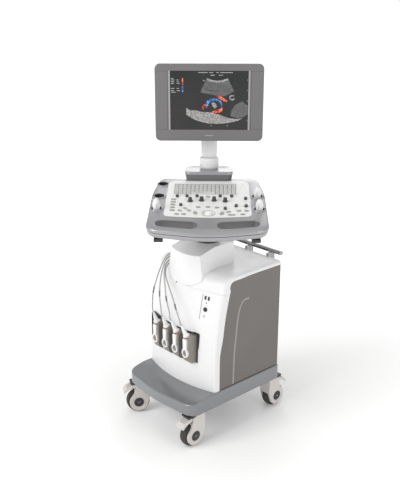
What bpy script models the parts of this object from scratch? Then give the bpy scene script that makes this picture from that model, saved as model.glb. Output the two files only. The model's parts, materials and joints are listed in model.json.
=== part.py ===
"""Cart ultrasound machine: castor base, electronics body, swivelling console and flat monitor.

Metres, +Z up. The cart's front faces -Y and its right side, seen from the front, is +X. The console
is swivelled and tilted about the neck, so everything above the neck is built in its own frame.
Run with: blender --background --python part.py
"""
import math

import bmesh
import bpy
from mathutils import Matrix, Vector

# Frames
CART_ORIGIN = (-0.0209, -0.0070, 0.0)  # the base centre on the floor; the whole cart is centred on x = y = 0
SWIVEL_Y = 0.024                       # the console turns about a vertical axis at x = 0
CONSOLE_YAW = math.radians(46.66)
CONSOLE_TILT = math.radians(9.56)      # the key surface slopes down towards the user
CONSOLE_HEIGHT = 0.914                 # the key surface at the swivel axis
GAP = 0.0003                           # between pieces that touch

# Base and body
BASE_HALF_WIDTH = 0.2005
BASE_BOTTOM = 0.137
BASE_TOP = 0.2005
BASE_REAR = 0.246
BASE_FRONT_CORNER = -0.242
BASE_FRONT_BOW = 0.016
BODY_HALF_WIDTH = 0.1965
BODY_REAR = 0.237
BODY_TOP = 0.658
BODY_CORNER = 0.014                    # radius between the front and a side
FRONT_APEX = -0.153                    # the front's foremost line at the foot
FRONT_PLAN_RADIUS = 0.56
FRONT_RAKE_START = 0.30                # above this the front leans back
FRONT_RAKE = 0.4577
SHOULDER_Z = 0.615
CROWN_Z = 0.6572                       # the shoulder ends here; the top rises from here to the shelf
SEAM_Z = 0.596                         # front cover below, top cover above
WALL = 0.0035

# Neck
NECK_HALF_WIDTH = 0.085
NECK_REAR = 0.088
NECK_TOP = 0.7455
NECK_FRONT_TOP = 0.722
SHELF_FRONT = NECK_REAR + 0.004        # the flat top behind the neck starts here

# Connector recess, as (x, z) corners
RECESS = ((-0.160, 0.307), (0.122, 0.429))

# Castors
WHEEL_RADIUS = 0.049
WHEEL_HALF_WIDTH = 0.0165
CASTOR_TRAIL = 0.024
FORK_HALF_WIDTH = 0.0275
FORK_TOP = 0.1365
PEDAL_PIVOT = (0.0, -0.026, 0.119)
CASTORS = {
    "front_right": (0.165, -0.188, 0.0),
    "front_left": (-0.165, -0.188, -28.0),
    "rear_right": (0.165, 0.222, 180.0),
    "rear_left": (-0.165, 0.222, 180.0),
}

# Probe plugs on the front
PLUG_X = (-0.0865, -0.0255, 0.0345, 0.0945)
PLUG_WIDTH = 0.031
PLUG_FRONT_Y = -0.176
PLUG_BACK_Y = -0.1134
LEVER_PIVOT_Z = 0.387
RELIEF_LEAN = (-0.001, -0.006, -0.014, -0.013)   # how far each cord leans to the left at its boot
LEAD_START = (-0.1868, 0.4685)
LEAD_RADIUS = 0.0026
LEAD_STEP = 0.014                      # between the points of a lead

# Monitor, in the console's upright frame
MONITOR_SIZE = (0.424, 0.299)
MONITOR_MIDDLE_Z = 0.338               # above the key surface at the swivel axis
MONITOR_FRONT_Y = 0.163
SCREEN_SIZE = (0.304, 0.228)
SCREEN_RAISE = 0.0095
COLUMN_Y = 0.2445
TILT_Z = 0.300                         # the tilt hinge, above the key surface at the swivel axis

CUP_RADIUS = 0.0200
CUPS = ((-0.181, 0.126), (-0.189, 0.012), (-0.192, -0.100), (0.189, 0.012), (0.192, -0.100))
SMALL_KNOBS = ((-0.119, 0.004), (-0.082, 0.005), (-0.043, 0.005), (0.046, 0.006), (0.090, 0.006),
               (-0.102, -0.075), (0.143, -0.016), (0.106, -0.081), (0.143, -0.082), (0.065, -0.105))
BIG_KNOBS = ((-0.068, -0.037), (-0.025, -0.030), (0.023, -0.030), (0.065, -0.037))
TRACKBALL = (0.003, -0.141)
BALL_RADIUS = 0.0165
OVAL_KEYS = ((-0.001, 0.003, 0), (-0.037, -0.090, -8), (0.0, -0.088, 0), (0.034, -0.093, 8),
             (-0.085, -0.100, -30), (-0.070, -0.119, -30), (-0.104, -0.120, -25), (-0.114, -0.150, -10),
             (-0.088, -0.150, -10), (0.116, -0.119, 20), (0.144, -0.119, 0),
             (0.129, -0.149, 10), (0.077, -0.129, 25))


# ---------------------------------------------------------------- scene and materials

def clear_scene():
    for item in list(bpy.data.objects):
        bpy.data.objects.remove(item, do_unlink=True)
    for item in list(bpy.data.collections):
        bpy.data.collections.remove(item)


def new_collection(name):
    made = bpy.data.collections.new(name)
    bpy.context.scene.collection.children.link(made)
    return made


def make_material(name, colour, roughness, metallic=0.0):
    made = bpy.data.materials.new(name)
    made.use_nodes = True
    shader = made.node_tree.nodes["Principled BSDF"]
    shader.inputs["Base Color"].default_value = (*colour, 1.0)
    shader.inputs["Roughness"].default_value = roughness
    shader.inputs["Metallic"].default_value = metallic
    made.diffuse_color = (*colour, 1.0)
    return made


def make_materials():
    return {
        "white": make_material("white_plastic", (0.80, 0.80, 0.79), 0.42),
        "grey": make_material("console_grey", (0.34, 0.34, 0.35), 0.38, 0.2),
        "side": make_material("side_grey", (0.155, 0.143, 0.135), 0.5),
        "base": make_material("base_grey", (0.27, 0.275, 0.285), 0.25, 0.2),
        "bezel": make_material("bezel_grey", (0.155, 0.15, 0.152), 0.45),
        "dark": make_material("dark_plastic", (0.03, 0.03, 0.03), 0.5),
        "screen": make_material("screen_glass", (0.01, 0.01, 0.012), 0.12),
        "taupe": make_material("plug_taupe", (0.27, 0.245, 0.22), 0.5),
        "warm": make_material("castor_white", (0.58, 0.545, 0.52), 0.45),
        "tyre": make_material("tyre_rubber", (0.035, 0.033, 0.031), 0.7),
        "steel": make_material("steel", (0.55, 0.56, 0.57), 0.35, 1.0),
        "key": make_material("key_grey", (0.42, 0.41, 0.40), 0.5),
        "lead": make_material("lead_grey", (0.56, 0.56, 0.55), 0.5),
    }


def make_empty(name, location=(0, 0, 0), rotation=(0, 0, 0), parent=None):
    made = bpy.data.objects.new(name, None)
    made.location = location
    made.rotation_euler = rotation
    made.parent = parent
    PARTS.objects.link(made)
    return made


def add_object(name, data, parent, material):
    """A part in its material, or a cutter when the material is None."""
    made = bpy.data.objects.new(name, data)
    made.parent = parent
    if material:
        data.materials.append(MATERIALS[material])
        PARTS.objects.link(made)
    else:
        made.hide_render = True
        made.display_type = "WIRE"
        CUTTERS.objects.link(made)
    return made


def mesh_from(builder, name):
    mesh = bpy.data.meshes.new(name)
    builder.to_mesh(mesh)
    builder.free()
    mesh.shade_smooth()
    mesh.set_sharp_from_angle(angle=math.radians(35))
    return mesh


# ---------------------------------------------------------------- shape helpers

def arc_points(centre, radius, start, end, steps):
    """Points on an arc from start to end, in degrees."""
    angles = [math.radians(start + (end - start) * i / steps) for i in range(steps + 1)]
    return [(centre[0] + radius * math.cos(a), centre[1] + radius * math.sin(a)) for a in angles]


def rounded_outline(corners, steps=5):
    """A closed outline from (x, y, radius) corners listed anticlockwise."""
    points = []
    count = len(corners)
    for i, (x, y, radius) in enumerate(corners):
        here = Vector((x, y))
        to_last = (Vector(corners[i - 1][:2]) - here).normalized()
        to_next = (Vector(corners[(i + 1) % count][:2]) - here).normalized()
        half = math.acos(max(-1.0, min(1.0, to_last.dot(to_next)))) / 2
        if radius <= 0:
            points.append((x, y))
            continue
        reach = radius / math.tan(half)
        centre = here + (to_last + to_next).normalized() * radius / math.sin(half)
        first = here + to_last * reach - centre
        last = here + to_next * reach - centre
        sweep = first.angle_signed(last)
        for k in range(steps + 1):
            turned_ray = first.copy()
            turned_ray.rotate(Matrix.Rotation(-sweep * k / steps, 2))
            points.append(tuple(centre + turned_ray))
    return points


def mirrored_corners(half):
    """Closes a half outline, listed from the front middle round the +X side, over x = 0."""
    other = [(-x, y, r) for x, y, r in reversed(half) if abs(x) > 1e-6]
    return half + other


def rectangle(low_x, low_y, high_x, high_y, radius, steps=3):
    return rounded_outline([(low_x, low_y, radius), (high_x, low_y, radius),
                            (high_x, high_y, radius), (low_x, high_y, radius)], steps)


def inset_outline(points, distance):
    """Moves a smooth anticlockwise outline inwards by a distance."""
    moved = []
    count = len(points)
    for i, (x, y) in enumerate(points):
        before = Vector(points[i - 1])
        after = Vector(points[(i + 1) % count])
        along = (after - before).normalized()
        moved.append((x - along.y * distance, y + along.x * distance))
    return moved


def oval(half_x, half_y, segments):
    angles = [2 * math.pi * k / segments for k in range(segments)]
    return [(half_x * math.cos(a), half_y * math.sin(a)) for a in angles]


def loft(name, rings, parent, material):
    """A closed solid through rings of equal length, capped at both ends."""
    builder = bmesh.new()
    rows = [[builder.verts.new(p) for p in ring] for ring in rings]
    count = len(rows[0])
    for low, high in zip(rows, rows[1:]):
        for i in range(count):
            j = (i + 1) % count
            builder.faces.new((low[i], low[j], high[j], high[i]))
    builder.faces.new(list(reversed(rows[0])))
    builder.faces.new(rows[-1])
    bmesh.ops.recalc_face_normals(builder, faces=builder.faces)
    return add_object(name, mesh_from(builder, name), parent, material)


def shell(name, rows, thickness, parent, material):
    """An open surface through rows of points, thickened inwards."""
    builder = bmesh.new()
    grid = [[builder.verts.new(p) for p in row] for row in rows]
    for low, high in zip(grid, grid[1:]):
        for i in range(len(low) - 1):
            builder.faces.new((low[i], low[i + 1], high[i + 1], high[i]))
    made = add_object(name, mesh_from(builder, name), parent, material)
    thicken = made.modifiers.new("Wall", "SOLIDIFY")
    thicken.thickness = thickness
    thicken.offset = -1.0
    thicken.use_even_offset = True
    return made


def to_mesh_object(name, source, transform, material):
    """Replaces a curve object by a welded mesh one, so that it can be cut and joined."""
    graph = bpy.context.evaluated_depsgraph_get()
    made = bpy.data.meshes.new_from_object(source.evaluated_get(graph))
    builder = bmesh.new()
    builder.from_mesh(made)
    bpy.data.meshes.remove(made)
    bmesh.ops.remove_doubles(builder, verts=builder.verts, dist=0.00001)
    bmesh.ops.transform(builder, matrix=transform, verts=builder.verts)
    bmesh.ops.recalc_face_normals(builder, faces=builder.faces)
    parent = source.parent
    bpy.data.objects.remove(source, do_unlink=True)
    return add_object(name, mesh_from(builder, name), parent, material)


def plate(name, outline, low, high, parent, material, axis="Z"):
    """A flat outline across an axis, from low to high along it: (x, y), (x, z) or (y, z) points."""
    data = bpy.data.curves.new(name, "CURVE")
    data.dimensions = "2D"
    data.fill_mode = "BOTH"
    data.extrude = (high - low) / 2
    spline = data.splines.new("POLY")
    spline.points.add(len(outline) - 1)
    spline.use_cyclic_u = True
    for place, (a, b) in zip(spline.points, outline):
        place.co = (a, b, 0.0, 1.0)
    source = add_object(name + "_outline", data, parent, None)
    turn = {
        "Z": Matrix.Identity(4),
        "Y": Matrix(((1, 0, 0, 0), (0, 0, 1, 0), (0, 1, 0, 0), (0, 0, 0, 1))),
        "X": Matrix(((0, 0, 1, 0), (1, 0, 0, 0), (0, 1, 0, 0), (0, 0, 0, 1))),
    }[axis]
    return to_mesh_object(name, source, turn @ Matrix.Translation((0, 0, (low + high) / 2)), material)


def block(name, low, high, parent, material, bevel=0.0, segments=2):
    builder = bmesh.new()
    block_maker(low, high)(builder)
    made = add_object(name, mesh_from(builder, name), parent, material)
    if bevel:
        add_bevel(made, bevel, segments)
    return made


def drum(name, centre, radius, length, parent, material, axis="Z", segments=24, top_radius=None):
    builder = bmesh.new()
    turn = {"Z": Matrix.Identity(4), "X": Matrix.Rotation(math.pi / 2, 4, "Y"),
            "Y": Matrix.Rotation(-math.pi / 2, 4, "X")}[axis]
    bmesh.ops.create_cone(builder, cap_ends=True, segments=segments, radius1=radius,
                          radius2=radius if top_radius is None else top_radius, depth=length,
                          matrix=Matrix.Translation(centre) @ turn)
    return add_object(name, mesh_from(builder, name), parent, material)


def turned(name, profile, parent, material, segments=24):
    """A solid of revolution about Z from (radius, z) points listed from its bottom to its top."""
    builder = bmesh.new()
    chain = [(0.0, profile[0][1])] + list(profile) + [(0.0, profile[-1][1])]
    points = [builder.verts.new((radius, 0.0, z)) for radius, z in reversed(chain)]
    for first, second in zip(points, points[1:]):
        builder.edges.new((first, second))
    mesh = bpy.data.meshes.new(name)
    builder.to_mesh(mesh)
    builder.free()
    made = add_object(name, mesh, parent, material)
    spin = made.modifiers.new("Turn", "SCREW")
    spin.axis = "Z"
    spin.steps = segments
    spin.render_steps = segments
    spin.use_merge_vertices = True
    spin.merge_threshold = 0.00001
    return made


def add_bevel(item, width, segments=2, angle=35.0):
    made = item.modifiers.new("Bevel", "BEVEL")
    made.width = width
    made.segments = segments
    made.limit_method = "ANGLE"
    made.angle_limit = math.radians(angle)
    return made


def add_boolean(item, other, operation):
    made = item.modifiers.new(operation.title(), "BOOLEAN")
    made.operation = operation
    made.solver = "EXACT"
    made.object = other


def cut(item, *cutters):
    for cutter in cutters:
        add_boolean(item, cutter, "DIFFERENCE")


def join(item, *others):
    for other in others:
        add_boolean(item, other, "UNION")


def group(name, makers, parent):
    """A cutter or joiner of several solids; each maker adds one to the mesh it is given."""
    builder = bmesh.new()
    for maker in makers:
        maker(builder)
    return add_object(name, mesh_from(builder, name), parent, None)


def block_maker(low, high, turn=0.0):
    """Adds a box turned about its own middle."""
    def add(builder):
        size = Vector(high) - Vector(low)
        middle = (Vector(high) + Vector(low)) / 2
        matrix = Matrix.Translation(middle) @ Matrix.Rotation(math.radians(turn), 4, "Z")
        matrix = matrix @ Matrix.Diagonal((*size, 1.0))
        bmesh.ops.create_cube(builder, size=1.0, matrix=matrix)
    return add


def drum_maker(centre, radius, length, segments=16, top_radius=None, stretch=1.0, turn=0.0):
    """Adds an upright cylinder, cone or oval."""
    def add(builder):
        matrix = Matrix.Translation(centre) @ Matrix.Rotation(math.radians(turn), 4, "Z")
        matrix = matrix @ Matrix.Diagonal((stretch, 1.0, 1.0, 1.0))
        bmesh.ops.create_cone(builder, cap_ends=True, segments=segments, radius1=radius,
                              radius2=radius if top_radius is None else top_radius, depth=length,
                              matrix=matrix)
    return add


def smooth_route(points, spacing):
    """Even steps along a Catmull-Rom curve through the points."""
    knots = [Vector(p) for p in points]
    knots = [2 * knots[0] - knots[1]] + knots + [2 * knots[-1] - knots[-2]]
    fine = []
    for a, b, c, d in zip(knots, knots[1:], knots[2:], knots[3:]):
        for i in range(24):
            t = i / 24
            fine.append(0.5 * (2 * b + (c - a) * t + (2 * a - 5 * b + 4 * c - d) * t * t
                               + (3 * b - a - 3 * c + d) * t ** 3))
    fine.append(knots[-2])
    total = sum((q - p).length for p, q in zip(fine, fine[1:]))
    count = max(2, round(total / spacing))
    step = total / count
    route = [fine[0]]
    walked = 0.0
    for p, q in zip(fine, fine[1:]):
        length = (q - p).length
        while length > 0 and len(route) < count and walked + length >= step * len(route):
            route.append(p.lerp(q, (step * len(route) - walked) / length))
        walked += length
    route.append(fine[-1])
    return route


def tube(name, points, radius, parent, material, resolution=2):
    """A round bar or cord along a polyline, with its ends filled."""
    data = bpy.data.curves.new(name, "CURVE")
    data.dimensions = "3D"
    data.bevel_depth = radius
    data.bevel_resolution = resolution
    data.use_fill_caps = True
    spline = data.splines.new("POLY")
    spline.points.add(len(points) - 1)
    for place, point in zip(spline.points, points):
        place.co = (*point, 1.0)
    return add_object(name, data, parent, material)


# ---------------------------------------------------------------- the body's outer surface

BOW_ANGLE = math.asin((BODY_HALF_WIDTH - BODY_CORNER) / (FRONT_PLAN_RADIUS - BODY_CORNER))
BOW_DEPTH = FRONT_PLAN_RADIUS * (1 - math.cos(BOW_ANGLE))


def rake_angle(z):
    """How far the front leans back at a height."""
    return math.atan(2 * FRONT_RAKE * max(0.0, min(z, SHOULDER_Z) - FRONT_RAKE_START))


def front_line(z):
    """The front's middle line at a height up to the shoulder."""
    rise = max(0.0, z - FRONT_RAKE_START)
    return FRONT_APEX + FRONT_RAKE * rise * rise


def body_path(low, high_y=None, front_steps=6, arc_steps=6):
    """The middle profile from a height up over the shoulder, as (y, z, angle of the normal)."""
    stations = []
    for i in range(front_steps + 1):
        z = low + (SHOULDER_Z - low) * i / front_steps
        stations.append((front_line(z), z, rake_angle(z)))
    lean = rake_angle(SHOULDER_Z)
    radius = (CROWN_Z - SHOULDER_Z) / (1 - math.sin(lean))
    for i in range(1, arc_steps + 1):
        angle = lean + (math.pi / 2 - lean) * i / arc_steps
        stations.append((front_line(SHOULDER_Z) + radius * (math.cos(lean) - math.cos(angle)),
                         SHOULDER_Z + radius * (math.sin(angle) - math.sin(lean)), angle))
    if high_y is not None:
        for y in (SHELF_FRONT, high_y):
            stations.append((y, BODY_TOP, math.pi / 2))
    return stations


def plan_section(front_steps=6, corner_steps=3):
    """The body's plan as (x, bow, depth) from the -X side round the front to the +X side."""
    right = []
    for i in range(front_steps + 1):
        angle = BOW_ANGLE * i / front_steps
        right.append((FRONT_PLAN_RADIUS * math.sin(angle), FRONT_PLAN_RADIUS * (1 - math.cos(angle)), 0.0))
    corner_y = FRONT_PLAN_RADIUS - (FRONT_PLAN_RADIUS - BODY_CORNER) * math.cos(BOW_ANGLE)
    for i in range(1, corner_steps + 1):
        angle = BOW_ANGLE + (math.pi / 2 - BOW_ANGLE) * i / corner_steps
        depth = corner_y - BODY_CORNER * math.cos(angle) - BOW_DEPTH
        right.append((BODY_HALF_WIDTH - BODY_CORNER + BODY_CORNER * math.sin(angle), BOW_DEPTH, depth))
    return [(-x, bow, depth) for x, bow, depth in reversed(right[1:])] + right


def side_band(y, z):
    """How far the white band at a side runs in from the corner, at a point of the profile."""
    if z > CROWN_Z - 0.0001:
        blend = min(1.0, max(0.0, (y + 0.02) / 0.06))
        return 0.018 + (0.015 - 0.018) * blend
    if z > SHOULDER_Z:
        return 0.037 + (0.018 - 0.037) * (z - SHOULDER_Z) / (CROWN_Z - SHOULDER_Z)
    blend = min(1.0, max(0.0, (z - 0.34) / 0.09))
    return 0.027 + (0.037 - 0.027) * blend * blend * (3 - 2 * blend)


def bow_share(y, z):
    """The front's bow fades out along the flat top."""
    return 1.0 if z < CROWN_Z - 0.0001 else min(1.0, max(0.0, (BODY_REAR - y) / BODY_REAR))


def body_rows(stations):
    """Points of the body's surface, with the bands at both sides."""
    section = plan_section()
    rows = []
    for y, z, angle in stations:
        inward = (math.cos(angle), -math.sin(angle))
        band = side_band(y, z)
        columns = [(-BODY_HALF_WIDTH, BOW_DEPTH, band)] + section + [(BODY_HALF_WIDTH, BOW_DEPTH, band)]
        share = bow_share(y, z)
        rows.append([(x, y + bow * share + depth * inward[0], z + depth * inward[1])
                     for x, bow, depth in columns])
    return rows


def band_edge(stations, margin):
    """The inner edge of the side bands as (y, z) points."""
    edge = []
    for y, z, angle in stations:
        depth = side_band(y, z) + margin
        edge.append((y + BOW_DEPTH * bow_share(y, z) + depth * math.cos(angle), z - depth * math.sin(angle)))
    return edge


def body_core(cart):
    """The body's outside as a solid that clears what rests on it."""
    columns = []
    stations = body_path(0.55, BODY_REAR + 0.02)
    for x, bow, _ in plan_section()[3:-3]:
        column = [(x, y + bow * bow_share(y, z) - GAP * math.cos(angle), z + GAP * math.sin(angle))
                  for y, z, angle in stations]
        columns.append(column + [(x, BODY_REAR + 0.02, 0.55)])
    return loft("body_core", columns, cart, None)


# ---------------------------------------------------------------- body

def make_covers(cart):
    foot = BASE_TOP + GAP
    seam_top = SEAM_Z + 2 * GAP
    stations = body_path(foot, BODY_REAR)
    below = [s for s in stations if s[1] < SEAM_Z - 0.005]
    below.append((front_line(SEAM_Z), SEAM_Z, rake_angle(SEAM_Z)))
    above = [(front_line(seam_top), seam_top, rake_angle(seam_top))]
    above += [s for s in stations if s[1] > seam_top + 0.005]
    front = shell("front_cover", body_rows(below), WALL, cart, "white")
    shell("top_cover", body_rows(above), WALL, cart, "white")
    (low_x, low_z), (high_x, high_z) = RECESS
    cut(front, plate("recess", rectangle(low_x, low_z, high_x, high_z, 0.006), -0.25, 0.0, cart, None, "Y"))

    low = foot + 0.0012
    edge = band_edge(body_path(low, BODY_REAR - 0.0005), 2 * GAP)
    outline = [(y, max(z, low)) for y, z in edge] + [(BODY_REAR - 0.0005, low)]
    for side, sign in (("left", -1), ("right", 1)):
        outer = sign * (BODY_HALF_WIDTH - 0.0012)
        inner = sign * (BODY_HALF_WIDTH - 0.0050)
        plate("side_cover_" + side, outline, min(outer, inner), max(outer, inner), cart, "side", "X")


def make_rear(cart):
    half = BODY_HALF_WIDTH - 0.0062
    face = BODY_REAR - 0.002
    outline = rectangle(-half, BASE_TOP + 0.001, half, BODY_TOP - WALL - 0.0006, 0.008)
    rear = plate("rear_cover", outline, face - 0.004, face, cart, "side", "Y")
    slots = [block_maker((-0.150, face - 0.01, z), (-0.050, face + 0.01, z + 0.005))
             for z in [0.500 + 0.012 * i for i in range(7)]]
    cut(rear, group("vent_slots", slots, cart),
        drum("fan_opening", (0.085, face, 0.470), 0.041, 0.03, cart, None, "Y", 28),
        block("inlet_opening", (0.068, face - 0.01, 0.240), (0.172, face + 0.01, 0.292), cart, None))

    inlet = block("mains_inlet", (0.0685, face - 0.028, 0.2405), (0.1715, face + 0.0028, 0.2915), cart,
                  "dark", 0.0015, 2)
    cut(inlet, block("inlet_socket", (0.078, face - 0.012, 0.256), (0.102, face + 0.01, 0.276), cart, None),
        block("rocker_hole", (0.1195, face - 0.014, 0.2555), (0.1405, face + 0.01, 0.2765), cart, None))
    rocker = make_empty("power_switch_axis", (0.130, face - 0.0015, 0.266), parent=cart)
    shape = [(-0.0075, -0.0080), (0.0030, -0.0090), (0.0058, -0.0086), (0.0036, 0.0), (0.0040, 0.0086),
             (0.0030, 0.0090), (-0.0075, 0.0080)]
    plate("power_switch", shape, -0.0095, 0.0095, rocker, "tyre", "X")

    hub = make_empty("fan_axis", (0.085, face - 0.018, 0.470), parent=cart)
    rotor = drum("cooling_fan", (0, 0, 0), 0.013, 0.018, hub, "dark", "Y", 16)
    blades = []
    for i in range(7):
        builder = bmesh.new()
        block_maker((0.010, -0.0080, -0.0010), (0.038, 0.0080, 0.0010))(builder)
        turn = Matrix.Rotation(2 * math.pi * i / 7, 4, "Y") @ Matrix.Rotation(math.radians(35), 4, "X")
        bmesh.ops.transform(builder, matrix=turn, verts=builder.verts)
        blades.append(add_object("fan_blade_%d" % i, mesh_from(builder, "fan_blade"), hub, None))
    join(rotor, *blades)

    bar_y = 0.270
    bar_z = 0.673
    bar = [(bar_y + a, bar_z + b) for a, b in oval(0.0105, 0.0085, 14)]
    handle = plate("rear_handle", bar, -0.166, 0.166, cart, "grey", "X")
    add_bevel(handle, 0.003, 2)
    join(handle, *[block("handle_bracket_%d" % i, (x - 0.006, BODY_REAR + GAP, 0.640),
                         (x + 0.006, bar_y + 0.005, 0.6695), cart, None)
                   for i, x in enumerate((-0.120, 0.0, 0.120))])


def make_neck(cart):
    """The pedestal with its rounded front bib, which hangs over the shoulder."""
    rings = []
    for z, half in ((0.599, 0.030), (0.606, 0.058), (0.616, 0.080), (0.632, 0.096), (0.655, 0.095),
                    (0.690, 0.089), (0.722, NECK_HALF_WIDTH), (NECK_TOP, NECK_HALF_WIDTH)):
        front_y = -0.1195 + 0.075 * (z - 0.60)
        back_half = NECK_HALF_WIDTH if z > 0.65 else max(half, 0.060)
        ring = [(half * t, front_y + 2.2 * half * half * t * t, z) for t in [i / 6 - 1 for i in range(13)]]
        ring += [(half, -0.050, z), (back_half, 0.0, z), (back_half, NECK_REAR - 0.010, z),
                 (back_half - 0.010, NECK_REAR, z), (0.010 - back_half, NECK_REAR, z),
                 (-back_half, NECK_REAR - 0.010, z), (-back_half, 0.0, z), (-half, -0.050, z)]
        rings.append(ring)
    neck = loft("neck_cover", rings, cart, "white")
    chamfer = block("neck_slope", (-0.2, -0.2, 0.0), (0.2, 0.0, 0.1), cart, None)
    chamfer.location = (0, -0.020, NECK_TOP)
    chamfer.rotation_euler = (math.atan((NECK_TOP - NECK_FRONT_TOP) / 0.085), 0, 0)
    ports = [drum("lead_port_%d" % (i + 1), (-0.085, route[-1][1], route[-1][2]), LEAD_RADIUS + 0.0012, 0.030,
                  cart, None, "X", 12) for i, route in enumerate(LEAD_ROUTES)]
    cut(neck, body_core(cart), chamfer, *ports)


# From each boot up to the neck's port at x = -0.08
LEAD_ROUTES = (
    ((-0.0926, -0.1880, 0.4935), (-0.0975, -0.1770, 0.5537), (-0.0980, -0.1490, 0.6220),
     (-0.1080, -0.1080, 0.6700), (-0.1070, -0.0800, 0.6850), (-0.1060, -0.0600, 0.6905),
     (-0.1010, -0.0495, 0.6918), (-0.0920, -0.0460, 0.6920), (-0.0800, -0.0460, 0.6920)),
    ((-0.0370, -0.1885, 0.4935), (-0.0553, -0.1800, 0.5496), (-0.0740, -0.1580, 0.6100),
     (-0.1030, -0.1110, 0.6585), (-0.1070, -0.0800, 0.6740), (-0.1070, -0.0520, 0.6835),
     (-0.1010, -0.0385, 0.6905), (-0.0920, -0.0350, 0.6920), (-0.0800, -0.0350, 0.6920)),
    ((0.0146, -0.1885, 0.4964), (-0.0127, -0.1810, 0.5445), (-0.0388, -0.1660, 0.5920),
     (-0.0720, -0.1420, 0.6250), (-0.1035, -0.1060, 0.6470), (-0.1080, -0.0750, 0.6630),
     (-0.1080, -0.0430, 0.6765), (-0.1015, -0.0280, 0.6885), (-0.0920, -0.0240, 0.6920),
     (-0.0800, -0.0240, 0.6920)),
    ((0.0740, -0.1885, 0.4860), (0.0512, -0.1860, 0.5216), (0.0281, -0.1790, 0.5516),
     (-0.0200, -0.1610, 0.5890), (-0.0700, -0.1360, 0.6150), (-0.1035, -0.1030, 0.6350),
     (-0.1085, -0.0720, 0.6520), (-0.1085, -0.0350, 0.6690), (-0.1025, -0.0180, 0.6860),
     (-0.0920, -0.0130, 0.6920), (-0.0800, -0.0130, 0.6920)),
)


def make_connectors(cart):
    (low_x, low_z), (high_x, high_z) = RECESS
    block("connector_panel", (low_x - 0.004, -0.1130, low_z - 0.005), (high_x + 0.004, -0.1080, high_z + 0.005),
          cart, "dark", 0.001, 1)
    profile = rounded_outline([(PLUG_FRONT_Y, 0.308, 0.026), (PLUG_BACK_Y, 0.308, 0.002),
                               (PLUG_BACK_Y, 0.416, 0.002), (PLUG_FRONT_Y, 0.430, 0.006)], 4)
    for i, (x, lean, route) in enumerate(zip(PLUG_X, RELIEF_LEAN, LEAD_ROUTES), 1):
        plug = plate("probe_plug_%d" % i, profile, x - PLUG_WIDTH / 2, x + PLUG_WIDTH / 2, cart, "taupe", "X")
        start = Vector((x, -0.1700, 0.4200))
        tip = Vector((x + lean, *LEAD_START))
        along = tip - start
        builder = bmesh.new()
        bmesh.ops.create_cone(builder, cap_ends=True, segments=16, radius1=0.0125, radius2=0.0040,
                              depth=along.length, matrix=Matrix.Translation((start + tip) / 2)
                              @ along.to_track_quat("Z", "Y").to_matrix().to_4x4())
        join(plug, add_object("plug_boot_%d" % i, mesh_from(builder, "plug_boot"), cart, None))
        leaving = [tip + along.normalized() * reach for reach in (GAP, 0.006, 0.012)]
        tube("probe_lead_%d" % i, smooth_route(leaving + list(route), LEAD_STEP), LEAD_RADIUS, cart, "lead")

        axis = make_empty("lock_axis_%d" % i, (x, PLUG_FRONT_Y - GAP, LEVER_PIVOT_Z), parent=cart)
        stem = rounded_outline([(-0.0085, -0.020, 0.002), (0.0085, -0.020, 0.002), (0.0095, 0.028, 0.004),
                                (-0.0095, 0.028, 0.004)], 2)
        lever = plate("lock_lever_%d" % i, stem, -0.0080, 0.0, axis, "white", "Y")
        ring = plate("lock_ring_%d" % i, [(a, b - 0.031) for a, b in oval(0.0160, 0.0190, 20)], -0.0080, 0.0,
                     axis, None, "Y")
        hole = plate("lock_hole_%d" % i, [(a, b - 0.0315) for a, b in oval(0.0112, 0.0138, 16)], -0.02, 0.01,
                     axis, None, "Y")
        join(lever, ring)
        cut(lever, hole)


def make_base(cart):
    corners = mirrored_corners([(0.0, BASE_FRONT_CORNER - BASE_FRONT_BOW, 0.6),
                                (BASE_HALF_WIDTH, BASE_FRONT_CORNER + 0.004, 0.045),
                                (BASE_HALF_WIDTH, BASE_REAR, 0.018)])
    base = plate("base_cover", rounded_outline(corners, 6), BASE_BOTTOM, BASE_TOP, cart, "base")
    slope = block("base_slope", (-0.3, -0.3, 0.0), (0.3, 0.0, 0.1), cart, None)
    slope.location = (0, -0.158, BASE_TOP)
    slope.rotation_euler = (math.radians(10.5), 0, 0)
    hollow = block("base_hollow", (-0.125, -0.150, 0.10), (0.125, 0.180, BASE_TOP - 0.012), cart, None)
    cut(base, slope, hollow)
    add_bevel(base, 0.005, 2, 50)


def make_inside(cart):
    low = BASE_TOP + GAP
    wall = 0.003
    half = 0.183
    channel = [(-half, low), (half, low), (half, 0.480), (half - wall, 0.480), (half - wall, low + wall),
               (wall - half, low + wall), (wall - half, 0.480), (-half, 0.480)]
    plate("chassis_frame", channel, -0.085, 0.200, cart, "steel", "Y")
    floor = low + wall + GAP
    block("power_supply", (0.010, 0.030, floor), (0.165, 0.196, floor + 0.085), cart, "steel", 0.002, 1)
    comb = [(-0.178, floor), (-0.006, floor)]
    for i in range(6):
        x = -0.006 - 0.030 * i
        comb += [(x, floor + 0.230), (x - 0.005, floor + 0.230), (x - 0.005, floor + 0.020)]
        if i < 5:
            comb.append((x - 0.030, floor + 0.020))
    comb += [(-0.178, floor + 0.020)]
    plate("board_cage", comb, -0.050, 0.185, cart, "steel", "Y")


# ---------------------------------------------------------------- castors

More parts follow.
